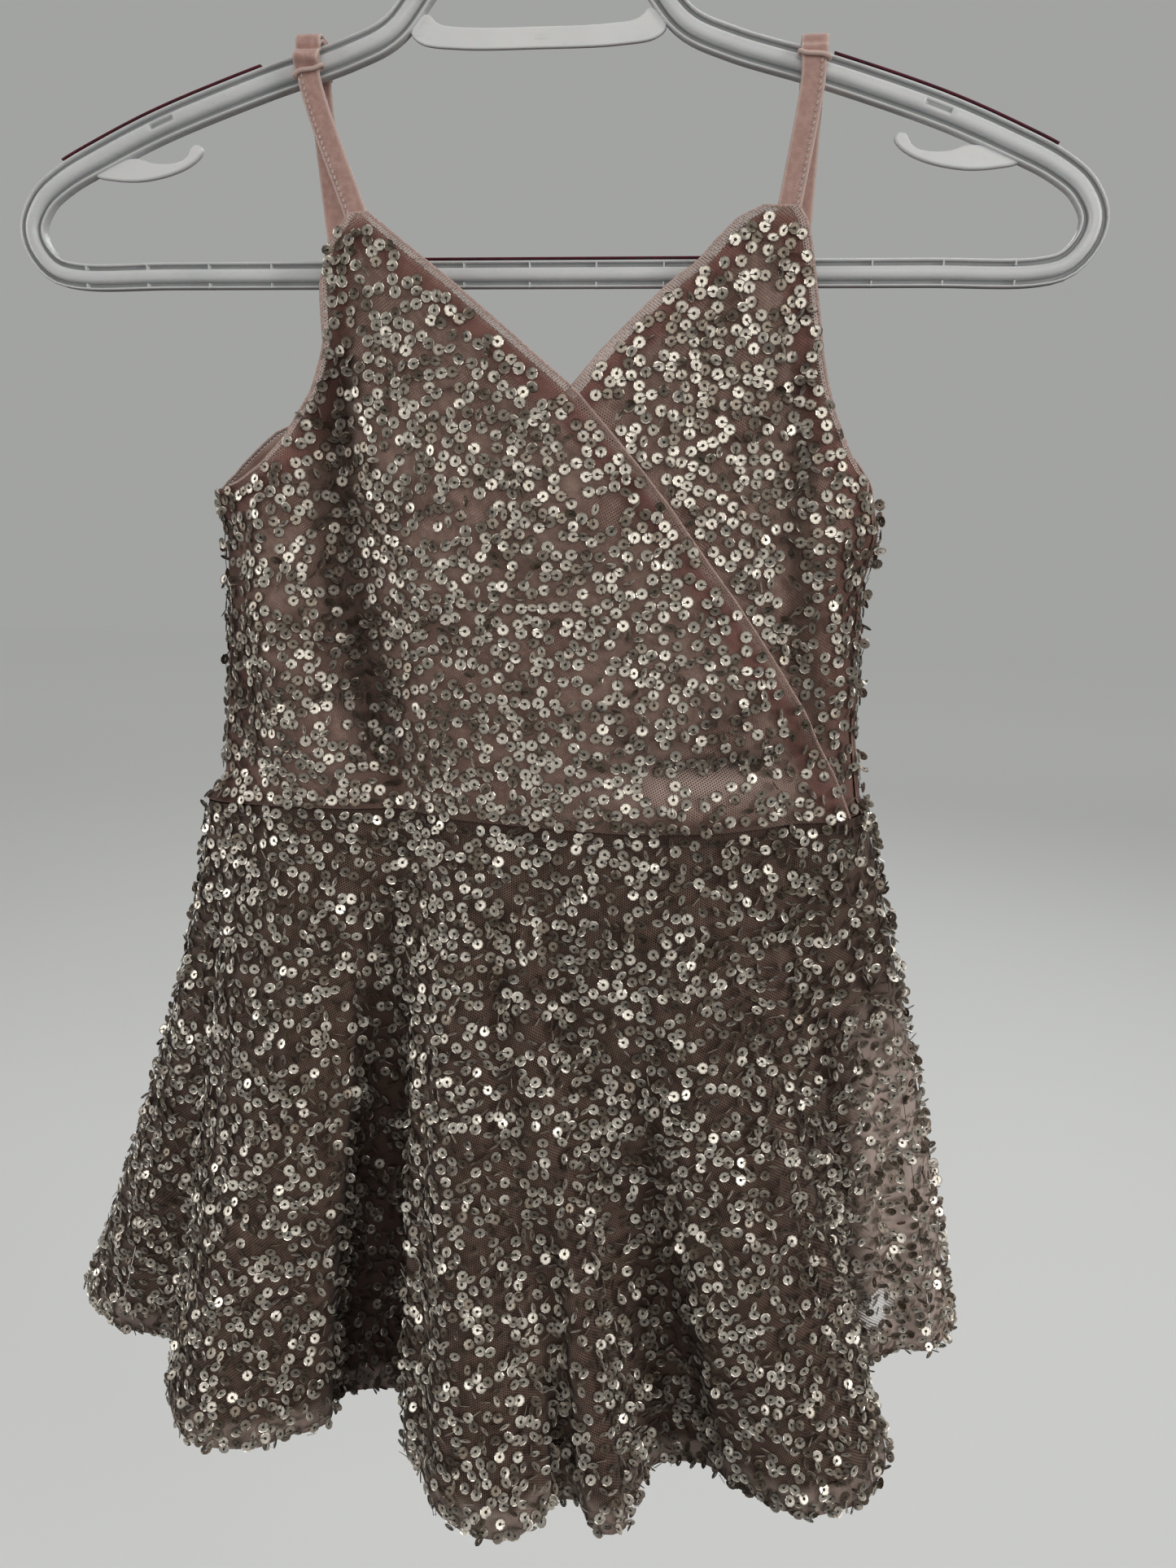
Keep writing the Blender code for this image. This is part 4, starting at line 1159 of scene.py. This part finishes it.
def boxes_piece(name, verts, paint, smooth):
    """Many small boxes in one mesh, from their corners."""
    faces = repeated(BOX_FACES, len(verts) // len(BOX_CORNERS), len(BOX_CORNERS))
    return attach(mesh_piece(name, verts, faces, paint, smooth), "root")


def stitched(name, line, offset, paint, top):
    """Small slanted stitches along a band, on its outer face, up to where it is folded over the arm."""
    across, out = strap_frames(line)
    along = run_of(line)
    verts = []
    place = 0.004
    while place < along[-1] - 0.004:
        k = int(np.searchsorted(along, place)) - 1
        share = (place - along[k]) / (along[k + 1] - along[k])
        middle = line[k] * (1 - share) + line[k + 1] * share
        place += STITCH_PITCH
        if middle[2] > top:
            continue
        way = unit(unit(line[k + 1] - line[k]) + across[k] * 0.45)
        side = np.cross(out[k], way)
        base = middle + across[k] * offset + out[k] * (STRAP_WALL / 2 - 0.00016)
        for a, b, c in BOX_CORNERS:
            taper = 0.55 if c else 1.0
            verts.append(base + way * a * 0.00088 * taper + side * b * 0.00033 * taper + out[k] * c * 0.00044)
    return boxes_piece(name, verts, paint, smooth=True)


def frame_rows():
    """The frame's closed middle line, its way outwards and its size, evenly spaced."""
    half = np.array(FRAME_LINE[1:])
    left = half[-2:0:-1] * (-1.0, 1.0, 1.0)
    line = curve_through(np.vstack([half, left]), closed=True)
    shares = np.linspace(0, 1, int(steps_of(line[:, :2]).sum() / FRAME_SPACING) + 1)[:-1]
    dense = evenly(line, np.linspace(0, 1, 8000))
    across = np.abs(dense[:, 0])
    for end in SLOT_SPAN:
        crossed = np.where((across[:-1] - end) * (across[1:] - end) <= 0)[0]
        crossed = crossed[dense[crossed, 1] > ARM_LOW_Z] / 8000
        shares = np.concatenate([shares, crossed - 0.0002, crossed + 0.0002])
    line = evenly(line, np.sort(shares))
    middle = line[:, :2]
    return middle, beside(tangent_round(middle)), line[:, 2]


def frame_piece(paint):
    """The hanger's hollow moulding, with its lips, grooves and slots."""
    middle, way, size = frame_rows()
    half = np.array(RIBBED_PROFILE[1:])
    shape = np.vstack([half, half[-2::-1] * (-1.0, 1.0)])
    up, deep = np.vstack([shape, shape[::-1] * (1.0, -1.0)]).T
    high = up[None] * (FRAME_HALF_HEIGHT * size)[:, None]
    deep = deep[None] * (ARM_HALF_DEPTH * size)[:, None]
    across = np.abs(middle[:, 0])
    arm = (across > SLOT_SPAN[0]) & (across < SLOT_SPAN[1]) & (middle[:, 1] > ARM_LOW_Z)
    slot = arm[:, None] & ((up > -0.01) & (up < 0.20))[None]
    deep = np.where(slot, deep * 0.76, deep)
    verts = np.stack([middle[:, :1] + way[:, :1] * high, deep, middle[:, 1:] + way[:, 1:] * high], -1)
    verts = np.concatenate([verts, verts[:1]])
    made = mesh_piece("frame_moulding", verts, grid_faces(len(verts), len(up), wrap=True), paint)
    # Grooves and slots, marked for their painted shade.
    groove = np.where(((np.abs(up) > 0.49) & (np.abs(up) < 0.79))[None] | slot, 1.0, 0.0)
    marked(made, groove=np.concatenate([groove, groove[:1]]))
    weld = made.modifiers.new("weld", "WELD")
    weld.merge_threshold = 1e-6
    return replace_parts(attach(made, "root"), "hanger_frame")


def rib_ticks(paint):
    """Small cross ribs in the grooves of the bar, on both faces."""
    verts = []
    half = ARM_SIZE * ARM_HALF_DEPTH
    for x, up, face in product(np.arange(-7, 8) * TICK_PITCH - 0.002, (-1, 1), (-1, 1)):
        z = BAR_MIDDLE + up * 0.65 * FRAME_HALF_HEIGHT * ARM_SIZE
        for a, b, c in BOX_CORNERS:
            verts.append((x + a * 0.00032 * (1 - 0.3 * c), face * half * (0.08 + 0.58 * c), z + b * 0.00092))
    return boxes_piece("bar_ticks", verts, paint, smooth=False)


def plate_piece(name, node, outline, thickness, paint, roll=0.0006):
    """A moulded plate with rolled edges."""
    way = beside(tangent_round(outline))
    x, z = outline.T
    inward = way if (x * np.roll(z, -1) - np.roll(x, -1) * z).sum() > 0 else -way
    steps = [(1 - math.sin(a), 1 - math.cos(a)) for a in np.radians((0, 30, 60, 90))]
    rings = []
    for side, turns in ((-1, steps), (1, steps[::-1])):
        for inset_by, sunk in turns:
            flat = outline + inward * roll * inset_by
            y = np.full(len(flat), side * (thickness / 2 - roll * sunk))
            rings.append(np.stack([flat[:, 0], y, flat[:, 1]], -1))
    made = mesh_piece(name, rings, capped(len(rings), len(outline)), paint)
    for cap in list(made.data.polygons)[-2:]:
        cap.use_smooth = False
    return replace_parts(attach(made, "root"), node)


def hook_piece(paint):
    r = HOOK_RADIUS
    stem = [(0.0, -0.0842), (0.0, -0.068), (0.0035, -0.056), (0.014, -0.043)]
    angles = np.radians(np.linspace(-25, 195, 15))
    turn = [(r * math.cos(a), HOOK_WIRE - r + r * math.sin(a)) for a in angles]
    line = [(x, 0.0, z) for x, z in smooth_through(stem + turn, 120)]
    taper = np.ones(len(line))
    taper[:3] = (0.86, 0.95, 0.99)
    taper[-5:] = (0.99, 0.94, 0.82, 0.6, 0.3)
    made = tube("hook_moulding", line, (HOOK_WIRE, HOOK_WIRE), paint, 20, taper=taper)
    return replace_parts(made, "hanger_hook")


def grip_piece(name, node, line, paint):
    """A soft strip with rounded edges on the top of an arm or of the bar."""
    line = [(x, 0.0, z) for x, z in line]
    made = tube(name, line, (GRIP_WIDTH / 2, GRIP_WALL / 2), paint, 14, up=(0.0, 0.0, 1.0), square=0.5)
    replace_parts(made, node)


def arm_top(x0, x1, count):
    """The line along the top of the right arm on which a strip lies."""
    half = smooth_through(FRAME_LINE[1:], 400)
    keep = half[half[:, 1] > ARM_LOW_Z]
    lift = FRAME_HALF_HEIGHT * keep[:, 2:3] + SEAM_GAP + GRIP_WALL / 2
    line = keep[:, :2] + beside(unit(np.gradient(keep[:, :2], axis=0))) * lift
    x = np.linspace(x0, x1, count)
    return np.stack([x, np.interp(x, line[:, 0], line[:, 1])], -1)


def build_hanger():
    light = plastic_paint("moulded_plastic", (0.80, 0.81, 0.81), (0.72, 0.733, 0.737), 0.28)
    thin = plastic_paint("thin_plastic", (0.93, 0.935, 0.93), (0.88, 0.89, 0.885), 0.40)
    skin = rubber_paint()
    notch = rounded(NOTCH_OUTLINE, 90)
    pieces = [
        frame_piece(light),
        rib_ticks(light),
        plate_piece("web_plate", "hanger_web", rounded(WEB_OUTLINE, 120), WEB_THICKNESS, thin),
        plate_piece("left_notch_plate", "left_notch", notch, NOTCH_THICKNESS, thin, 0.0009),
        plate_piece("right_notch_plate", "right_notch", notch * (-1, 1), NOTCH_THICKNESS, thin, 0.0009),
        hook_piece(light),
    ]
    grip_piece("left_arm_strip", "left_grip", arm_top(0.101, 0.18, 40) * (-1, 1), skin)
    grip_piece("right_arm_strip", "right_grip", arm_top(0.103, 0.18, 40), skin)
    bar_top = BAR_TOP + SEAM_GAP + GRIP_WALL / 2
    grip_piece("bar_strip", "bar_grip", [(x, bar_top) for x in np.linspace(-0.074, 0.095, 60)], skin)


def fold_piece(side, row, ring_z, paint):
    """A strap's spare length, folded over the arm above its ring."""
    fine = strap_line(row, 1400)
    top = np.where((np.abs(fine[:, 0] - row["arm_x"]) < 0.004) & (fine[:, 2] > ring_z))[0]
    line = fine[top[0] : top[-1] + 1]
    share = np.linspace(0, 1, len(line))
    lift = 0.0002 + 0.0004 * np.sin(np.pi * share) ** 0.4
    for middle, spread, height in FOLD_LUMPS[side]:
        lift += height * np.exp(-(((share - middle) / spread) ** 2))
    return band_piece(side + "_band_fold", line, STRAP_WIDTH * 1.10, 0.0013, paint, lift)


def hoop_piece(side, row, ring_z, paint):
    """A strap's ring, a rounded oblong around its two layers."""
    half = STRAP_WIDTH / 2 + RING_WIRE + SEAM_GAP
    deep = STRAP_WALL / 2 + RING_WIRE + SEAM_GAP
    c, s = circle(48)
    x = row["arm_x"] + half * squared(c, 0.4)
    y = deep * squared(s, 0.4) - STRAP_REACH - 0.0003
    loop = np.stack([x, y, ring_z + row["ring_tilt"] * c * half], -1)
    made = tube(side + "_band_ring", loop, (0.00075, 0.00075), paint, 10, closed=True, up=(0.0, 0.0, 1.0))
    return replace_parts(made, side + "_ring")


def build_straps():
    satin = strap_paint()
    thread = thread_paint("strap_thread", (0.80, 0.66, 0.61))
    for values, outward in zip(STRAPS[1:], (-1, 1)):
        row = dict(zip(STRAPS[0], values))
        side = row["name"]
        ring_z = row["arm_z"] + row["ring_up"]
        line = strap_line(row, 150)
        band = band_piece(side + "_band", line, STRAP_WIDTH, STRAP_WALL, satin)
        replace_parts(band, side + "_strap")
        stitch = stitched(side + "_band_stitches", line, outward * 0.30 * STRAP_WIDTH, thread, ring_z)
        fold = fold_piece(side, row, ring_z, satin)
        hoop = hoop_piece(side, row, ring_z, satin)


def bodice_keep(name, cloth, away, arm_away, crossing, draw):
    """The test of whether a sequin may sit at a place of a bodice panel."""

    def keep(s, t):
        edge = cloth.read(away, s, t)
        row = t * (FRONT_GRID[0] - 1)
        if name == "front_over" and row > crossing:
            edge += CROSS_CLEAR * min((row - crossing) / 30, 1.0)
        if t > 0.998 or edge < EDGE_CLEAR or (edge < EDGE_THIN and draw.random() < 0.35):
            return False
        arm = cloth.read(arm_away, s, t)
        if arm < ARM_CLEAR or (arm < ARM_THIN and draw.random() < 0.4):
            return False
        if name != "back_bodice" and not 0.006 < s < 0.994:
            return False
        if name == "front_under":
            x, _, z = cloth.read(cloth.points, s, t)
            return x > at(OVER_EDGES, "z", "inner", z) + CROSS_CLEAR or z > UNCOVERED_Z
        return True

    return keep


def bodice_tones(name, cloth, found, near):
    """The net's painted shade in folds, at the waist seam and between sequins, its rose tint, and its painted
    light, at each point.
    """
    # Painted shade along the bodice's lower edge at the waist seam.
    seam = np.clip((cloth.t - 0.972) / 0.016, 0, 1) * 0.8
    dark = sequin_shaded(np.maximum(cloth.shade(FOLD_DEPTH[0.0]), seam), cloth, found)
    x, z = cloth.points[..., 0], cloth.points[..., 2]
    # A patch above the waist at the right painted pale as light falling there, with its painted shade taken
    # away.
    pale = 0.75 * np.exp(-((x - PALE_X) / 0.034) ** 2 - ((z - PALE_Z - 0.05 * (x - PALE_X)) / 0.009) ** 2)
    pale = np.zeros_like(x) if name == "back_bodice" else pale
    rose = np.clip((near - 0.0025) / 0.002, 0, 1) * np.clip((0.0130 - near) / 0.003, 0, 1) * 0.6
    rose = np.maximum(rose, np.clip((np.abs(x - 0.004) - 0.102) / 0.012, 0, 1) * 0.55)
    return {"dark": dark * (1 - pale), "rose": rose, "pale": pale}


def bodice_pieces():
    net = net_paint("bodice_net", (0.425, 0.294, 0.243), (0.100, 0.048, 0.034), 0.0)
    trim_net = net_paint("turned_net", (0.72, 0.55, 0.485), (0.48, 0.33, 0.28), 0.45)
    lining = lining_paint()
    film = sequin_paint("bodice_sequins", (0.26, 0.212, 0.165), (0.80, 0.740, 0.640))
    # Sequin thread, a real thread painted near black as the shade inside the sequins' holes.
    thread = thread_paint("bodice_shaded_thread", (0.034, 0.018, 0.011))
    cord = thread_paint("edge_thread", (0.66, 0.465, 0.405), 0.0008)
    over = front_cloth(OVER_EDGES, LAYER_STEP)
    under = front_cloth(UNDER_EDGES, -LAYER_STEP)
    back = back_cloth()
    for cloth, creases in ((over, BODICE_CREASES), (under, BODICE_CREASES), (back, BACK_CREASES)):
        creased(cloth, creases)
    over_arm = int((over.points[:, 0, 2] > OVER_ARM_Z).sum())
    under_arm = int((under.points[:, -1, 2] > UNDER_ARM_Z).sum())
    crossing = int((over.points[:, -1, 2] > CROSSING_Z).sum())
    end = FRONT_GRID[0]
    rows = np.arange(end)
    none = np.zeros(BACK_GRID[0])
    # Turned edges: name, column, first and last row, width and paint of the turn, half width of its cord.
    over_turns = (
        ("neck", -1, 0, crossing, EDGE_TURN, trim_net, TOP_CORD),
        ("cross", -1, crossing, end, 0.0016, net, FINE_CORD),
        ("arm", 0, 0, over_arm, EDGE_TURN * 0.8, trim_net, ARM_CORD),
    )
    under_turns = (
        ("neck", 0, 0, end, EDGE_TURN * 1.2, trim_net, FINE_CORD),
        ("arm", -1, 0, under_arm, EDGE_TURN, trim_net, ARM_CORD),
    )
    # Panels: name, cloth, solid, lining's inset at the left, right and top, open edges, armholes, turns, seed.
    jobs = (
        ("front_over", over, "front_over_panel",
         np.where(rows < over_arm, 0.0024, 0.0), np.full(end, 0.0036), 0.0022,
         [over.points[:, -1], over.points[0]], [over.points[:over_arm, 0]], over_turns, 11),
        ("front_under", under, "front_under_panel",
         np.full(end, 0.0040), np.where(rows < under_arm, 0.0024, 0.0), 0.0022,
         [under.points[:, 0], under.points[0]], [under.points[:under_arm, -1]], under_turns, 12),
        ("back_bodice", back, "back_bodice_panel", none, none, 0.0015,
         [back.points[0]], [back.points[0]], (), 13),
    )
    for name, cloth, node, left, right, top, edges, arms, turns, seed in jobs:
        draw = np.random.default_rng(seed)
        away, arm_away = away_from(cloth, edges), away_from(cloth, arms)
        shell = inset(cloth, left, right, top)
        deep = away_from(shell, edges + arms) + (0.02 if name == "back_bodice" else 0.0)
        every = np.unique(np.append(np.arange(0, cloth.count, 2), cloth.count - 1))
        # The lining, with painted shade in its folds.
        inner = sheet_piece(
            name + "_lining", shell.points[:, every], shell.flat[:, every], lining, LINING_WALL,
            edge=deep[:, every], dark=shell.shade(0.0022)[:, every],
        )
        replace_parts(inner, node)
        extras = []
        for suffix, column, first, last, width, paint, half in turns:
            piece = f"{name}_{suffix}"
            extras.append(edge_strip(piece + "_turn", cloth, column, first, last, width, paint))
            out = cloth.out[max(first - 1, 0) : last, column]
            line = cloth.points[max(first - 1, 0) : last, column] + out * NET_LIFT
            extras.append(edge_cord(piece + "_cord", line, out, half, cord))
        top_line = cloth.points[0] + cloth.out[0] * NET_LIFT * 0.5
        extras.append(edge_cord(name + "_top_cord", top_line, cloth.out[0], TOP_CORD, cord))
        keep = bodice_keep(name, cloth, away, arm_away, crossing, draw)
        found = lay_sequins(cloth, keep, draw, 0.92, (0.985,), 0.8)
        tones = bodice_tones(name, cloth, found, np.minimum(away, arm_away))
        outer = sheet_piece(name + "_net", cloth.points + cloth.out * NET_LIFT, cloth.flat, net, **tones)
        extras += sequin_piece(name + "_sequins", cloth, found, draw, NET_LIFT, (film, thread), 0.0)
        area = float(cloth.area())


def skirt_tones(name, cloth, found):
    """How sheer the net is at each point, its painted shade in folds, under the waist seam and between sequins,
    and where it is pale: painted light on the side flute, and a paler hem band.
    """
    s, t = cloth.s, cloth.t
    spot = np.exp(-(((s - SHEER_SPOT[0]) / 0.016) ** 2 + ((t - SHEER_SPOT[1]) / 0.055) ** 2) ** 2)
    sheer = spot if name == "front_skirt" else np.zeros_like(spot)
    # Painted shade in folds, and a painted shadow under the waist seam.
    dark = np.maximum(cloth.shade(FOLD_DEPTH[1.0]), np.clip(1 - t / 0.03, 0, 1) * 0.7)
    dark = sequin_shaded(dark, cloth, found)
    # Painted light on the side flute, taking away its painted shade; the hem band is paler net.
    from_side = s - 0.925 if name == "front_skirt" else 0.055 - s
    pale = 0.9 * np.clip(from_side / 0.03, 0, 1) * np.clip((t - 0.26) / 0.2, 0, 1)
    pale = np.maximum(pale, 0.50 * np.clip((t - 0.955) / 0.015, 0, 1))
    return {"sheer": sheer, "dark": dark * (1 - pale), "pale": pale}


def skirt_pieces():
    net = net_paint("skirt_net", (0.250, 0.168, 0.134), (0.022, 0.011, 0.007), 3.60)
    turn = net_paint("hem_net", (0.42, 0.300, 0.255), (0.14, 0.094, 0.075), 1.60)
    film = sequin_paint("skirt_sequins", (0.20, 0.160, 0.120), (0.96, 0.895, 0.785))
    # Sequin thread, a real thread painted near black as the shade inside the sequins' holes.
    thread = thread_paint("skirt_shaded_thread", (0.024, 0.013, 0.008))
    cord = thread_paint("seam_thread", (0.12, 0.085, 0.072), 0.0008)
    pale = thread_paint("hem_thread", (0.34, 0.24, 0.21), 0.0008)
    front_hem, back_hem = hem_halves()
    jobs = (
        ("front_skirt", front_hem, LEFT_SEAM, RIGHT_SEAM, FRONT_VALLEYS, FRONT_RIPPLES, 21),
        ("back_skirt", back_hem, RIGHT_SEAM, 2 * np.pi + LEFT_SEAM, BACK_VALLEYS, BACK_RIPPLES, 22),
    )
    for name, hem, start, end, valleys, ripples, seed in jobs:
        draw = np.random.default_rng(seed)
        cloth = skirt_cloth(hem, start, end)
        fluted(cloth, valleys)
        rippled(cloth, ripples)
        found = lay_sequins(cloth, lambda s, t: 0.004 < t < 0.997, draw, 1.0, (0.011, 0.988), 0.45)
        found += hem_hangers(cloth, draw, HANGER_PITCH)
        tones = skirt_tones(name, cloth, found)
        outer = sheet_piece(name + "_net", cloth.points, cloth.flat, net, **tones)
        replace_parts(outer, name + "_panel")
        waist = cloth.points[1] + cloth.out[1] * 0.0004
        extras = [
            hem_band(name + "_hem", cloth, turn),
            edge_cord(name + "_hem_cord", cloth.points[-1], cloth.out[-1], TOP_CORD, pale),
            edge_cord(name + "_waist_cord", waist, cloth.out[1], SEAM_CORD, cord),
        ]
        found.sort(key=lambda place: place[0])
        middle = len(found) // 2
        for part, places in (("a", found[:middle]), ("b", found[middle:])):
            extras += sequin_piece(f"{name}_sequins_{part}", cloth, places, draw, 0.0, (film, thread), 1.0)
        float(cloth.area())


def set_camera():
    p, y, r = CAMERA_TILT, CAMERA_TURN, CAMERA_ROLL
    ahead = np.array([-math.sin(y) * math.cos(p), math.cos(y) * math.cos(p), -math.sin(p)])
    level = np.array([math.cos(y), math.sin(y), 0.0])
    top = np.cross(level, ahead)
    right = math.cos(r) * level + math.sin(r) * top
    up = -math.sin(r) * level + math.cos(r) * top
    data = bpy.data.cameras.new("camera")
    data.sensor_fit = "AUTO"
    data.sensor_width = SENSOR
    data.lens = CAMERA_FOCUS * SENSOR / PICTURE_HEIGHT
    data.clip_start = 0.01
    data.clip_end = 50.0
    camera = bpy.data.objects.new("camera", data)
    turn = Matrix((right, up, -ahead)).transposed().to_4x4()
    turn.translation = Vector(CAMERA_PLACE)
    camera.matrix_world = turn
    bpy.context.scene.collection.objects.link(camera)
    bpy.context.scene.camera = camera


def area_light(name, place, aim, size, power, colour):
    data = bpy.data.lights.new(name, "AREA")
    data.shape = "RECTANGLE"
    data.size, data.size_y = size
    data.energy = power
    data.color = colour
    light = bpy.data.objects.new(name, data)
    light.location = place
    way = Vector(aim) - Vector(place)
    light.rotation_euler = way.to_track_quat("-Z", "Y").to_euler()
    bpy.context.scene.collection.objects.link(light)



def set_stage():
    paint = Paint("pale_floor", 0.9)
    cloud = paint.noise(paint.place(), 0.6, 2.0)
    near = paint.mix(paint.span(cloud, 0.3, 0.7), (0.70, 0.71, 0.70), (0.74, 0.75, 0.74))
    # The far floor is painted lighter, making up for the light that falls off there.
    paint.give("Base Color", paint.mix(paint.mark("far"), near, (0.940, 0.954, 0.931)))
    corners = [(x, y, -1.05) for y in (-6.0, 0.2, 3.5, 6.0) for x in (-6, 6)]
    floor = mesh_piece("floor", corners, [[0, 1, 3, 2], [2, 3, 5, 4], [4, 5, 7, 6]], paint.made)
    marked(floor, far=[0, 0, 0, 0, 1, 1, 1, 1])
    floor.visible_diffuse = False
    floor.visible_glossy = False
    world = bpy.data.worlds.new("studio")
    bpy.context.scene.world = world
    world.use_nodes = True
    tree = world.node_tree
    seen = tree.nodes.new("ShaderNodeLightPath")
    level = tree.nodes.new("ShaderNodeMapRange")
    level.inputs["To Min"].default_value = WORLD_LIGHT
    level.inputs["To Max"].default_value = WORLD_SEEN
    tree.links.new(seen.outputs["Is Camera Ray"], level.inputs["Value"])
    sky = tree.nodes["Background"]
    sky.inputs["Color"].default_value = (0.985, 1.0, 0.975, 1.0)
    tree.links.new(level.outputs["Result"], sky.inputs["Strength"])
    for light in LIGHTS:
        area_light(*light)
    above = bpy.data.lights.new("above", "SUN")
    above.energy = 1.10
    above.angle = math.radians(50)
    lamp = bpy.data.objects.new("above", above)
    lamp.rotation_euler = (math.radians(-8), math.radians(8), 0.0)
    bpy.context.scene.collection.objects.link(lamp)
    bpy.context.scene.view_settings.view_transform = "Standard"


set_camera()
build_hanger()
build_straps()
bodice_pieces()
skirt_pieces()
set_stage()
